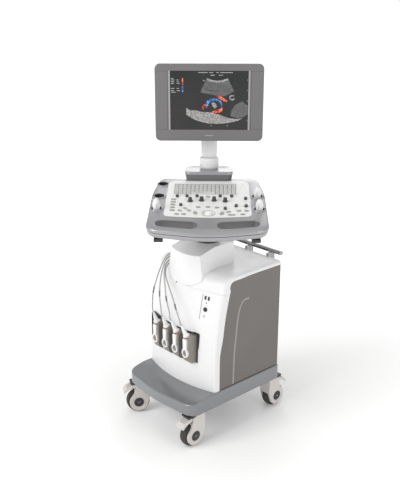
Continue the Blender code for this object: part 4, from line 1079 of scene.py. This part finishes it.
def make_fork(name, matrix, centre):
    """The twin cover over the wheel, with its hub caps, brake hood and swivel bearing."""
    place = (matrix, "castor_" + name)
    hub_y = centre.y
    corners = [(0.0235, 0.070, 0.0), (0.0235, FORK_TOP, 0.006), (-0.0130, FORK_TOP, 0.004),
               (-0.0330, 0.1280, 0.006), (-0.0360, 0.1120, 0.006), (-0.0425, 0.0880, 0.0)]
    outline = rounded_outline(corners, 6)
    outline += arc_points((hub_y, WHEEL_RADIUS), 0.0385, 155, 342, 40)
    cuts = [drum(centre, WHEEL_RADIUS + 0.0025, 0.0355, "X", 56), drum(centre, 0.0044, 0.1, "X", 16),
            box((-0.0222, -0.0700, 0.1040), (0.0222, -0.0150, 0.1500))]
    for sign in (-1, 1):
        middle = sign * FORK_HALF_WIDTH
        cuts.append(drum((middle, hub_y, WHEEL_RADIUS), 0.0212, 0.0018, "X", 40))
    fork = combined(plate(outline, -FORK_HALF_WIDTH, FORK_HALF_WIDTH, "X"), cuts=cuts)
    piece("fork_" + name, fork, place, "warm", ["castor_fork_" + name], 0.0022, 4, 45)
    for side, sign in (("outer", 1), ("inner", -1)):
        cap = turned([(0.0205, -0.0008), (0.0205, 0.0002), (0.0192, 0.0010), (0.0145, 0.0014),
                      (0.0140, 0.0009), (0.0105, 0.0009), (0.0100, 0.0014), (0.0020, 0.0016)], 44)
        turn = Matrix.Rotation(sign * math.pi / 2, 4, "Y")
        here = Matrix.Translation((sign * (FORK_HALF_WIDTH - 0.0004), hub_y, WHEEL_RADIUS)) @ turn
        piece("hub_cap_%s_%s" % (side, name), cap, (matrix @ here, place[1]), "dark")
        bar = rectangle(-0.0066, -0.0012, 0.0066, 0.0012, 0.0008, 4)
        tilt = Matrix.Rotation(math.radians(90 + 25 * sign), 4, "Z")
        piece("hub_bar_%s_%s" % (side, name), plate(bar, 0.0010, 0.0019), (matrix @ here @ tilt, place[1]),
              "key")
    hood = plate(rounded_outline([(-0.0218, -0.0560, 0.005), (0.0218, -0.0560, 0.005),
                                  (0.0218, -0.0155, 0.001), (-0.0218, -0.0155, 0.001)], 4), 0.1300, 0.1362)
    piece("brake_hood_" + name, hood, place, "dark", bevel=0.0008)
    bearing = turned([(0.0190, FORK_TOP - 0.0002), (0.0200, FORK_TOP), (0.0200, FORK_TOP + 0.0003)], 40)
    piece("swivel_bearing_" + name, bearing, place, "steel")


def make_wheel(name, matrix, centre):
    half = WHEEL_HALF_WIDTH
    tread = [(0.0040, -0.0270), (0.0040, -half), (0.0330, -half), (0.0335, 0.0012 - half),
             (0.0420, 0.0012 - half)]
    for k in range(9):
        angle = math.radians(-80 + 20 * k)
        tread.append((WHEEL_RADIUS - 0.0055 + 0.0055 * math.cos(angle), (half - 0.0008) * math.sin(angle)))
    tread += [(0.0420, half - 0.0012), (0.0335, half - 0.0012), (0.0330, half), (0.0040, half),
              (0.0040, 0.0270)]
    spin = Matrix.Translation(centre) @ AXIS_TURN["X"]
    wheel = turned(tread, 64)
    piece("tyre_" + name, wheel, (matrix @ spin, "wheel_" + name), "tyre", ["castor_wheel_" + name])


def make_pedal(name, matrix):
    """The brake pedal with its pin and the treads on its top."""
    pivot = Matrix.Translation(PEDAL_PIVOT)
    shape = rounded_outline([(0.0075, -0.0060, 0.002), (0.0075, 0.0060, 0.003), (-0.0180, 0.0080, 0.005),
                             (-0.0470, -0.0070, 0.006), (-0.0600, -0.0210, 0.003), (-0.0560, -0.0275, 0.002),
                             (-0.0430, -0.0165, 0.004), (-0.0240, -0.0062, 0.004)], 5)
    pedal = combined(plate(shape, -0.0210, 0.0210, "X"), adds=[drum((0, 0, 0), 0.0024, 0.052, "X", 16)])
    pedal_place = (matrix @ pivot, "pedal_" + name)
    piece("pedal_" + name, pedal, pedal_place, "warm", ["brake_pedal_" + name], 0.0018, 3, 45)
    treads = [moved(box((-0.0160, -0.0007, -0.0004), (0.0160, 0.0007, 0.0007)),
                    Matrix.Translation((0, -0.024 - 0.0060 * k, 0.0049 - 0.0031 * k))
                    @ Matrix.Rotation(math.radians(27.3), 4, "X")) for k in range(4)]
    piece("pedal_treads_" + name, merged(treads), pedal_place, "mark")


# ---------------------------------------------------------------- console

def console_outline():
    return rounded_outline(mirrored_corners([(0.0, -0.313, 0.50), (0.223, -0.268, 0.055),
                                             (0.2195, 0.050, 0.50), (0.196, 0.192, 0.040)]), 10)


def panel_outline():
    return rounded_outline(mirrored_corners([(0.0, -0.176, 0.9), (0.163, -0.162, 0.022),
                                             (0.161, 0.1565, 0.030)]), 8)


def grip_outline(sign, margin=0.0):
    corners = [(0.036 + margin, -0.268 + margin, 0.024 - margin),
               (0.188 - margin, -0.243 + margin, 0.026 - margin),
               (0.188 - margin, -0.190 - margin, 0.020 - margin),
               (0.036 + margin, -0.206 - margin, 0.022 - margin)]
    if sign < 0:
        corners = [(-x, y, r) for x, y, r in reversed(corners)]
    return rounded_outline(corners, 8)


def level_rings(outline, levels):
    """Rings at (inset, z) levels of one outline."""
    return [[(x, y, z) for x, y in inset_outline(outline, inset)] for inset, z in levels]


def cup_slit(x, y, half, low, high):
    near, far = sorted((x, x + math.copysign(0.06, x)))
    return box((near, y - half, low), (far, y + half, high))


def deck_cuts():
    """What the cups and the grips take out of both halves of the console."""
    bores = [drum((x, y, -0.02), CUP_RADIUS, 0.12, "Z", 40) for x, y in CUPS]
    slits = [cup_slit(x, y, 0.006, -0.10, 0.05) for x, y in CUPS]
    return bores + slits + [plate(grip_outline(sign), -0.08, 0.03) for sign in (-1, 1)]


def make_console(console):
    outline = console_outline()
    window = panel_outline()
    make_deck(console, outline, window)
    make_tray(console, outline, window)
    seam = combined(plate(inset_outline(outline, 0.0032), -0.0162, -0.0124),
                    cuts=[plate(inset_outline(outline, 0.0070), -0.03, 0.0),
                          *[cup_slit(x, y, 0.0066, -0.06, 0.01) for x, y in CUPS]])
    piece("deck_seam", seam, console, "dark")
    for i, (x, y) in enumerate(CUPS, 1):
        wall = combined(drum((x, y, -0.0225), CUP_RADIUS - 0.0002, 0.0470, "Z", 40),
                        cuts=[drum((x, y, -0.0225), CUP_RADIUS - 0.0013, 0.06, "Z", 40),
                              cup_slit(x, y, 0.0066, -0.06, 0.01)])
        piece("cup_liner_%d" % i, wall, console, "dark")
    for side, sign in (("left", -1), ("right", 1)):
        hoop = combined(plate(grip_outline(sign, 0.0003), -0.0340, -0.0035),
                        cuts=[plate(grip_outline(sign, 0.0016), -0.04, 0.01)])
        piece("grip_liner_" + side, hoop, console, "bezel")
        make_hook(console, side, 0.175 * sign)
    add_screws("tray_screws", console, [(x, y, -0.0490) for x in (-0.14, 0.14) for y in (-0.14, 0.12)],
               (0, 0, -1), 0.0042, "steel")


def make_deck(console, outline, window):
    """The console's upper half, with a raised lip round each cup."""
    edge = [(0.0005, -0.0126), (0.0, -0.0095), (0.0004, -0.0070), (0.0014, -0.0045), (0.0028, -0.0024),
            (0.0044, -0.0009), (0.0064, 0.0)]
    lips = [turned([(CUP_RADIUS + 0.0060, -0.0025), (CUP_RADIUS + 0.0056, 0.0010),
                    (CUP_RADIUS + 0.0044, 0.0028), (CUP_RADIUS + 0.0028, 0.0035)], 40,
                   Matrix.Translation((x, y, 0.0))) for x, y in CUPS]
    top = combined(loft(level_rings(outline, edge)), adds=lips,
                   cuts=[plate(inset_outline(window, -0.0004), -0.03, 0.03), *deck_cuts()])
    piece("deck_shell", top, console, "grey", ["console_top_shell"], 0.0016, 3, 50)


def make_tray(console, outline, window):
    """The console's lower half, with the belly below the panel."""
    levels = [(0.0120, -0.0360), (0.0085, -0.0345), (0.0060, -0.0325), (0.0045, -0.0300), (0.0032, -0.0220),
              (0.0026, -0.0160)]
    belly = plate(inset_outline(window, -0.006), -0.0490, -0.0300)
    bottom = combined(loft(level_rings(outline, levels)), adds=[belly],
                      cuts=[plate(inset_outline(window, 0.006), -0.040, 0.0), *deck_cuts()])
    piece("tray_shell", bottom, console, "grey", ["console_bottom_shell"], 0.0014, 3, 50)


def make_hook(console, side, x):
    """A cable hook below the front edge."""
    hook = rounded_outline([(-0.2700, -0.0520, 0.003), (-0.2510, -0.0520, 0.004), (-0.2510, -0.0363, 0.0),
                            (-0.2570, -0.0363, 0.0), (-0.2570, -0.0475, 0.002), (-0.2655, -0.0475, 0.002),
                            (-0.2655, -0.0390, 0.0015), (-0.2700, -0.0390, 0.0015)], 5)
    piece("hook_" + side, plate(hook, x - 0.0165, x + 0.0165, "X"), console, "dark", ["cable_hook_" + side],
          0.0010, 2, 50)

def keycap(low_x, low_y, high_x, high_y, base, top):
    """A key with sloped sides, rounded corners and a slightly dished top."""
    levels = ((0.0, base), (0.0003, base + 0.0012), (0.0017, top - 0.0006), (0.0025, top),
              (0.0042, top - 0.0005))
    return loft(level_rings(rectangle(low_x, low_y, high_x, high_y, 0.0014, 3), levels))


def make_panel(console):
    window = panel_outline()
    rim = [(0.0, -0.0060), (0.0, 0.0008), (0.0003, 0.0016), (0.0010, 0.0022), (0.0020, 0.0024)]
    pockets = [key_shape(spot, 0.0006, -0.02, 0.02) for spot in function_keys()]
    pockets += [drum((x, y, 0.0), 0.0069, 0.04, "Z", 24) for x, y in SMALL_KNOBS]
    tray = box((-0.134, 0.0245, -0.0032), (0.108, 0.1265, 0.02))
    dish = plate(rounded_outline([(0.116, 0.024, 0.004), (0.156, 0.020, 0.006), (0.134, 0.140, 0.005)], 6),
                 0.0012, 0.01)
    ball_hole = turned([(BALL_RADIUS + 0.0006, -0.03), (BALL_RADIUS + 0.0006, 0.0010),
                        (BALL_RADIUS + 0.0040, 0.0030)], 40, Matrix.Translation((*TRACKBALL, 0.0)))
    panel = combined(loft(level_rings(window, rim)), cuts=[tray, dish, ball_hole, *pockets])
    piece("panel_plate", panel, console, "panel_white", ["control_panel"], 0.0006, 2, 50)
    rib = plate(rectangle(0.1085, 0.0215, 0.1125, 0.1400, 0.0016, 4), 0.0020, 0.0042)
    piece("panel_rib", rib, console, "panel_white", bevel=0.0012)
    ring = moved(ring_mesh(BALL_RADIUS + 0.0085, BALL_RADIUS + 0.0062, 0.0020, 0.0034, 48),
                 Matrix.Translation((*TRACKBALL, 0.0)))
    piece("trackball_ring", ring, console, "key", bevel=0.0005)
    make_buttons(console, window)
    for i, (x, y) in enumerate(BIG_KNOBS, 1):
        make_big_knob(console, i, x, y)
    make_keyboard(console)
    profile = [(BALL_RADIUS * math.cos(a), BALL_RADIUS * math.sin(a))
               for a in [math.radians(-88 + 8 * k) for k in range(23)]]
    turn = Matrix.Translation((*TRACKBALL, BALL_DEPTH))
    piece("ball", turned(profile, 48), (console[0] @ turn, "ball"), "white", ["trackball"])


def make_buttons(console, window):
    """The soft mat below the panel, with the buttons and small knobs that come up through it."""
    mat = combined(plate(inset_outline(window, 0.009), -0.0100, -0.0068),
                   cuts=[box((-0.30, 0.0175, -0.05), (0.30, 0.30, 0.05)),
                         drum((*TRACKBALL, 0.0), BALL_RADIUS + 0.0010, 0.05, "Z", 40)])
    press = (console[0], "key_mat")
    piece("key_mat_sheet", mat, press, "mark", ["function_keys"])
    caps = [key_shape(spot, 0.0, -0.0070, 0.0054) for spot in function_keys()]
    piece("function_caps", merged(caps), press, "key", bevel=0.0011, angle=40)
    stem = [(0.0062, -0.0070), (0.0062, 0.0040), (0.0060, 0.0104), (0.0054, 0.0120), (0.0040, 0.0126)]
    # A lighter grey disc on each small knob's top: a painted highlight on the dark knob.
    top = [(0.0040, 0.0120), (0.0040, 0.0127), (0.0030, 0.0129)]
    for name, finish, profile in (("paddle_knobs", "knob", stem), ("paddle_knob_painted_highlights", "key", top)):
        knobs = [turned(profile, 24, Matrix.Translation((x, y, 0.0))) for x, y in SMALL_KNOBS]
        piece(name, merged(knobs), press, finish)


def make_big_knob(console, i, x, y):
    """A fluted menu knob with its pointer, and the ring on the panel round it."""
    place = (console[0] @ Matrix.Translation((x, y, 0.0027)), "knob_%d" % i)
    grip = turned([(0.0092, 0.0), (0.0092, 0.0024), (0.0084, 0.0034), (0.0078, 0.0040), (0.0072, 0.0142),
                   (0.0066, 0.0154), (0.0050, 0.0160)], 48)
    flutes = [drum((0.0086 * math.cos(a), 0.0086 * math.sin(a), 0.0130), 0.0014, 0.018, "Z", 10)
              for a in [math.pi * k / 8 for k in range(16)]]
    piece("knob_grip_%d" % i, combined(grip, cuts=[merged(flutes)]), place, "knob", ["menu_knob_%d" % i],
          0.0004, 2, 30)
    pointer = box((-0.0005, 0.0014, 0.0157), (0.0005, 0.0048, 0.0164))
    piece("knob_pointer_%d" % i, pointer, place, "key_white", bevel=0.0002)
    ring = moved(ring_mesh(0.0122, 0.0098, 0.0021, 0.0027, 40), Matrix.Translation((x, y, 0.0)))
    piece("knob_ring_%d" % i, ring, console, "key", bevel=0.0002)


def make_keyboard(console):
    """Five rows of keys on their carrier, with a space bar in the nearest row."""
    place = (console[0], "keyboard")
    piece("key_board", box((-0.1335, 0.0250, -0.0014), (0.1075, 0.1260, 0.0004)), place, "key",
          ["keyboard_keys"])
    pitch_x, pitch_y = KEY_PITCH
    caps = []
    for row in range(5):
        for column in range(15):
            if row == 0 and 4 < column < 10:
                continue
            wide = 6 if (row, column) == (0, 4) else 1
            x = KEYS_CORNER[0] + column * pitch_x + 0.0009
            y = KEYS_CORNER[1] + row * pitch_y
            caps.append(keycap(x, y, x + wide * pitch_x - 0.0018, y + 0.0164, 0.0002, 0.0056))
    piece("key_caps", merged(caps), place, "key_white", angle=50)


def function_keys():
    """Each as (x, y, half length, half width, turn, round)."""
    spots = [(-0.1325, y, 0.0085, 0.0042, -6, False) for y in (-0.022, -0.045, -0.069, -0.093, -0.117)]
    spots += [(x, y, 0.0085, 0.0052, turn, True) for x, y, turn in OVAL_KEYS]
    spots += [(0.088, -0.154, 0.0140, 0.0048, 0, True), (-0.046, -0.138, 0.0070, 0.0125, 12, True),
              (0.052, -0.142, 0.0070, 0.0125, -12, True)]
    return spots


def key_shape(spot, grow, low, high):
    x, y, half_length, half_width, turn, is_round = spot
    if is_round:
        outline = oval(half_length + grow, half_width + grow, 32)
    else:
        outline = rectangle(-half_length - grow, -half_width - grow, half_length + grow, half_width + grow,
                            0.0012, 4)
    here = Matrix.Translation((x, y, 0.0)) @ Matrix.Rotation(math.radians(turn), 4, "Z")
    return moved(plate(outline, low, high), here)


def make_probes(console):
    levels = ((-0.0480, 0.0060, 0.0060), (-0.0420, 0.0080, 0.0078), (-0.0360, 0.0095, 0.0090),
              (-0.0230, 0.0114, 0.0104), (-0.0100, 0.0130, 0.0118), (0.0040, 0.0150, 0.0134),
              (0.0110, 0.0155, 0.0141), (0.0180, 0.0155, 0.0142), (0.0240, 0.0150, 0.0134),
              (0.0290, 0.0140, 0.0122), (0.0332, 0.0125, 0.0107), (0.0365, 0.0105, 0.0090),
              (0.0388, 0.0082, 0.0070), (0.0402, 0.0058, 0.0050), (0.0410, 0.0030, 0.0025))
    for name, (x, y), turn in (("probe_left", CUPS[2], 100), ("probe_right_rear", CUPS[3], 80),
                               ("probe_right_front", CUPS[4], 75)):
        here = Matrix.Translation((x, y, 0.0)) @ Matrix.Rotation(math.radians(turn), 4, "Z")
        place = (console[0] @ here, name + "_body")
        case = loft([[(a, b, z) for a, b in oval(half_x, half_y, 40)] for z, half_x, half_y in levels])
        grooves = [box((sign * 0.0150 - 0.0012, -0.0009, 0.0060), (sign * 0.0150 + 0.0012, 0.0009, 0.0340))
                   for sign in (-1, 1)]
        piece(name + "_case", combined(case, cuts=grooves), place, "white", [name], 0.0005, 2, 50)
        core = loft([[(a * 0.93, b * 0.93, z) for a, b in oval(half_x, half_y, 40)]
                     for z, half_x, half_y in levels[3:-3]])
        piece(name + "_core", core, place, "key")


def make_swivel(cart, console):
    column = turned([(0.040, 0.0005), (0.0455, 0.0030), (0.0465, 0.006), (0.0465, 0.020), (0.0482, 0.031),
                     (0.052, 0.045), (0.0570, 0.062), (0.0625, 0.080), (0.066, 0.095), (0.066, 0.155)], 64,
                    Matrix.Translation((0, SWIVEL_Y, NECK_TOP)))
    clearance = moved(box((-0.2, -0.2, -0.0493), (0.2, 0.2, 0.1)), cart[0].inverted() @ console[0])
    piece("swivel_post", combined(column, cuts=[clearance]), (cart[0], console[1]), "grey", ["swivel_column"])


# ---------------------------------------------------------------- monitor

def make_monitor():
    console = (UPRIGHT, "console")
    slope = math.tan(CONSOLE_TILT)
    outline = rounded_outline(mirrored_corners([(0.0, 0.1635, 0.0), (0.0985, 0.1635, 0.024),
                                                (0.092, 0.284, 0.034)]), 12)
    # Painted light and shade: the block's sides are in the darker bezel grey for their shade, and the lid is
    # in the lighter console grey for the lit top.
    block = loft([[(x * 0.95, y, y * slope + 0.0008) for x, y in outline],
                  [(x, y, PLATFORM_TOP - 0.0110) for x, y in outline]])
    piece("platform_shaded_sides", block, console, "bezel", ["monitor_platform"], angle=40)
    lid = loft([[(x, y, z) for x, y in inset_outline(outline, inset)] for inset, z in
                ((0.0, PLATFORM_TOP - 0.0108), (0.0, PLATFORM_TOP - 0.0050), (0.0008, PLATFORM_TOP - 0.0024),
                 (0.0025, PLATFORM_TOP - 0.0007), (0.0050, PLATFORM_TOP))])
    piece("platform_lit_top", lid, console, "grey", angle=40)

    place = (UPRIGHT @ Matrix.Translation((0, COLUMN_Y, 0)), "column")
    collar = turned([(0.0330, PLATFORM_TOP + GAP), (0.0330, 0.0660), (0.0385, 0.0672), (0.0395, 0.0690),
                     (0.0395, 0.1030), (0.0388, 0.1055), (0.0375, 0.1070)], 56)
    rings = []
    for z, half_x, half_y in ((0.080, 0.0290, 0.0150), (0.105, 0.0308, 0.0150), (0.130, 0.0320, 0.0150),
                              (0.170, 0.0328, 0.0150), (0.210, 0.0330, 0.0150), (0.235, 0.0312, 0.0146),
                              (0.255, 0.0280, 0.0140), (0.267, 0.0242, 0.0130), (0.276, 0.0215, 0.0120),
                              (0.300, 0.0200, 0.0110)):
        rings.append([(a, b, z) for a, b in oval(half_x, half_y, 40)])
    bowl = drum((0, 0, 0.110), 0.0330, 0.040, "Z", 48)
    post = combined(combined(collar, cuts=[bowl]),
                    adds=[loft(rings), drum((0, 0, TILT_Z), 0.0130, 0.048, "X", 32),
                                                         drum((0, 0, TILT_Z), 0.0050, 0.066, "X", 20)])
    piece("column_post", post, place, "white", ["monitor_column"], 0.0010, 2, 50)
    make_head((HEAD, "monitor"))


def make_head(head):
    width, height = MONITOR_SIZE
    outline = rectangle(-width / 2, -height / 2, width / 2, height / 2, 0.020, 12)
    front = MONITOR_FRONT_Y - COLUMN_Y
    rise = MONITOR_MIDDLE_Z - TILT_Z
    half_w = SCREEN_SIZE[0] / 2
    half_h = SCREEN_SIZE[1] / 2
    middle = rise + SCREEN_RAISE

    def rings(levels):
        return [[(x, front + depth, z + rise) for x, z in inset_outline(outline, inset)]
                for inset, depth in levels]

    bezel = loft(rings(((0.0046, 0.0), (0.0028, 0.0004), (0.0012, 0.0015), (0.0003, 0.0032), (0.0, 0.0055),
                        (0.0, 0.020))))
    cuts = [box((-half_w, front - 0.01, middle - half_h), (half_w, front + 0.03, middle + half_h)),
            box((-half_w - 0.006, front + 0.003, middle - half_h - 0.006),
                (half_w + 0.006, front + 0.03, middle + half_h + 0.006))]
    pocket_in = half_w + 0.0100
    for sign in (-1, 1):
        low_x, high_x = sorted((sign * pocket_in, sign * 0.25))
        cuts.append(box((low_x, front - 0.01, middle - half_h + 0.001),
                        (high_x, front + 0.0016, middle + half_h - 0.001)))
    piece("bezel_frame", combined(bezel, cuts=cuts), head, "bezel", ["monitor_bezel"], 0.0006, 2, 50)
    for side, sign in (("left", -1), ("right", 1)):
        strip = rectangle(half_w + 0.0006, middle - half_h - 0.0010, half_w + 0.0066,
                          middle + half_h + 0.0010, 0.0010, 4)
        strip = [(sign * x, z) for x, z in strip]
        piece("screen_strip_" + side, plate(strip, front - 0.0005, front + 0.0008, "Y"), head, "bezel_light",
              bevel=0.0003)
        grille = speaker_panel(sign, pocket_in + 0.0014, width / 2, front, middle, half_h)
        piece("speaker_panel_" + side, grille, head, "bezel", bevel=0.0005, angle=45)

    repaint("lcd_panel", "screen")
    back = loft(rings(((0.001, 0.0203), (0.001, 0.0280), (0.0022, 0.0318), (0.0045, 0.0350), (0.0080, 0.0380),
                       (0.0180, 0.0460))))
    ear = [(front + 0.040, -0.014)] + arc_points((0, 0), 0.014, -90, 90, 20) + [(front + 0.040, 0.014)]
    slots = [box((x - 0.0015, front + 0.0440, rise + 0.070), (x + 0.0015, front + 0.06, rise + 0.110))
             for x in [-0.090 + 0.009 * k for k in range(21)]]
    shell_back = combined(back, adds=[plate(ear, -0.0326, -0.0256, "X"), plate(ear, 0.0256, 0.0326, "X")],
                          cuts=[drum((0, 0, 0), 0.0053, 0.1, "X", 24), merged(slots)])
    piece("back_shell", shell_back, head, "bezel", ["monitor_rear_cover"], 0.0010, 2, 45)
    add_screws("back_screws", head, [(sign * 0.165, front + 0.0460, rise + z) for sign in (-1, 1)
                                     for z in (-0.100, 0.115)], (0, 1, 0), 0.0040, "dark")
    badge = rectangle(-0.017, rise - 0.1292, 0.017, rise - 0.1256, 0.0016, 4)
    piece("front_lamp", plate(badge, front - 0.0006, front + 0.001, "Y"), head, "bezel_light", bevel=0.0003)
    make_picture(head, front + 0.0031, middle)


def speaker_panel(sign, low_x, high_x, front, middle, half_h):
    """The inset end panel, which follows the bezel's rounded outer edge."""
    rows = []
    for z in (middle - half_h + 0.0016, middle + half_h - 0.0016):
        rows.append([(sign * low_x, front + 0.0016, z), (sign * (high_x - 0.0012), front + 0.0016, z),
                     (sign * (high_x - 0.0028), front + 0.0006, z),
                     (sign * (high_x - 0.0046), front + 0.0003, z), (sign * low_x, front + 0.0003, z)])
    return loft(rows)


# ---------------------------------------------------------------- the display's picture

# Outlines in fractions of the screen, from its top left corner
FAR_WALL = ((0.205, 0.625), (0.250, 0.665), (0.330, 0.670), (0.410, 0.695), (0.520, 0.700), (0.620, 0.735),
            (0.700, 0.775), (0.760, 0.800), (0.860, 0.815), (0.930, 0.800), (0.880, 0.840), (0.790, 0.872),
            (0.700, 0.890), (0.600, 0.898), (0.500, 0.893), (0.410, 0.870), (0.310, 0.825), (0.240, 0.775),
            (0.205, 0.735))
FAR_SIDE = ((0.775, 0.760), (0.790, 0.660), (0.825, 0.585), (0.880, 0.540), (0.930, 0.512), (0.965, 0.560),
            (0.998, 0.585), (0.998, 0.730), (0.940, 0.785), (0.860, 0.800))
FLOW_STREAK = ((0.595, 0.412), (0.640, 0.420), (0.690, 0.455), (0.735, 0.500), (0.722, 0.520), (0.672, 0.500),
               (0.630, 0.468), (0.600, 0.440))
FLOW_CORE = ((0.530, 0.540), (0.560, 0.528), (0.590, 0.560), (0.600, 0.610), (0.575, 0.640), (0.545, 0.600))


def make_picture(head, depth, middle):
    """A generic sonogram: fields in thin layers in front of the panel, brighter layers further out."""
    half_w = SCREEN_SIZE[0] / 2
    half_h = SCREEN_SIZE[1] / 2

    def at(points):
        """Screen fractions, from the top left corner, as metres on the panel."""
        return [((u - 0.5) * 2 * half_w, middle + (0.5 - v) * 2 * half_h) for u, v in points]

    def patch(name, outlines, layer, finish):
        face = depth - 0.00022 * layer
        solids = [plate(at(outline), face - 0.00016, face, "Y") for outline in outlines]
        piece(name, merged(solids), head, finish)

    def band(apex, near, far, start, end, bulge=0.0, steps=28):
        """A stretch of a fan about an apex, in degrees from straight down, with a wavy far edge."""
        angles = [math.radians(start + (end - start) * k / steps) for k in range(steps + 1)]
        wide = half_h / half_w
        inner = [(apex[0] + near * math.sin(a) * wide, apex[1] + near * math.cos(a)) for a in angles]
        outer = [(apex[0] + (far + bulge * math.sin(7 * a + 1)) * math.sin(a) * wide,
                  apex[1] + (far + bulge * math.sin(9 * a)) * math.cos(a)) for a in angles]
        return inner + outer[::-1]

    patch("picture_field", [[(0.002, 0.002), (0.998, 0.002), (0.998, 0.998), (0.002, 0.998)]], 0, "field")
    apex = (0.605, -0.22)
    patch("picture_near_skin", [band(apex, 0.385, 0.420, -27, 27)], 1, "echo_bright")
    patch("picture_near_field", [band(apex, 0.424, 0.560, -27.5, 27, 0.006),
                                   band(apex, 0.566, 0.640, -27.5, 27, 0.014)], 1, "echo")
    patch("picture_far_wall", [FAR_WALL], 1, "echo_bright")
    patch("picture_far_side", [FAR_SIDE], 2, "echo")
    turns = [math.radians(20 + 300 * k / 24) for k in range(25)]
    ring, core = [[(0.795 + reach_u * math.cos(a), 0.450 + reach_v * math.sin(a)) for a in turns]
                  for reach_u, reach_v in ((0.038, 0.046), (0.021, 0.025))]
    patch("picture_ring", [ring + core[::-1]], 2, "echo_bright")
    cool = [swirl((0.555, 0.575), 0.105, 0.060, 150, 330), swirl((0.600, 0.560), 0.070, 0.042, 255, 395)]
    patch("picture_flow_cool", cool, 3, "flow_cool")
    warm = [swirl((0.575, 0.600), 0.100, 0.055, 20, 120), swirl((0.455, 0.615), 0.048, 0.020, 120, 330),
            FLOW_STREAK, swirl((0.620, 0.640), 0.058, 0.026, -40, 110)]
    patch("picture_flow_warm", warm, 4, "flow_warm")
    patch("picture_flow_core", [FLOW_CORE], 5, "echo_bright")
    scale = [(0.152, 0.125), (0.168, 0.125), (0.168, 0.240), (0.152, 0.240)]
    patch("picture_scale_warm", [scale], 1, "flow_warm")
    patch("picture_scale_cool", [[(u, v + 0.125) for u, v in scale]], 1, "flow_cool")
    left = ((0.125, 0.030), (0.150, 0.045), (0.180, 0.040), (0.208, 0.038), (0.292, 0.040), (0.330, 0.034),
            (0.355, 0.060))
    right = ((0.150, 0.026), (0.180, 0.030), (0.208, 0.034), (0.292, 0.028), (0.330, 0.042))
    top = ((0.360, 0.12), (0.500, 0.05), (0.590, 0.03), (0.640, 0.16))
    marks = [strip_at(0.012, v, w) for v, w in left] + [strip_at(0.085, v, w) for v, w in right]
    marks += [strip_at(u, 0.026, w) for u, w in top]
    marks += [strip_at(u, 0.070, 0.055) for u in (0.515, 0.620)]
    marks += [strip_at(0.985, v, 0.008) for v in (0.15, 0.32, 0.50, 0.66, 0.83)]
    marks += [strip_at(u, 0.925, 0.012) for u in (0.52, 0.73)]
    marks.append([(0.420, 0.165), (0.438, 0.150), (0.438, 0.180)])
    patch("picture_marks", marks, 1, "readout")


def swirl(centre, radius, inner, start, end, steps=20):
    """A crescent that thins towards both ends."""
    outer_edge = []
    inner_edge = []
    for k in range(steps + 1):
        share = k / steps
        angle = math.radians(start + (end - start) * share)
        thick = (radius - inner) * math.sin(math.pi * share) ** 0.6
        for edge, reach in ((outer_edge, radius), (inner_edge, radius - max(thick, 0.002))):
            edge.append((centre[0] + reach * math.cos(angle) * 0.95,
                         centre[1] + reach * math.sin(angle) * 1.1))
    return outer_edge + inner_edge[::-1]


def strip_at(u, v, width):
    return [(u, v), (u + width, v), (u + width, v + 0.011), (u, v + 0.011)]


def main():
    cart = (CART, "cart")
    console = (TILTED, "console")
    make_camera()
    make_lamps()
    make_world()
    make_floor()
    make_leads()
    make_base(cart)
    make_body(cart)
    make_ports(cart)
    make_neck(cart)
    make_plugs(cart)
    make_rear(cart)
    for name in CASTOR_NAMES:
        make_castor(name)
    make_console(console)
    make_panel(console)
    make_probes(console)
    make_swivel(cart, console)
    make_monitor()


main()
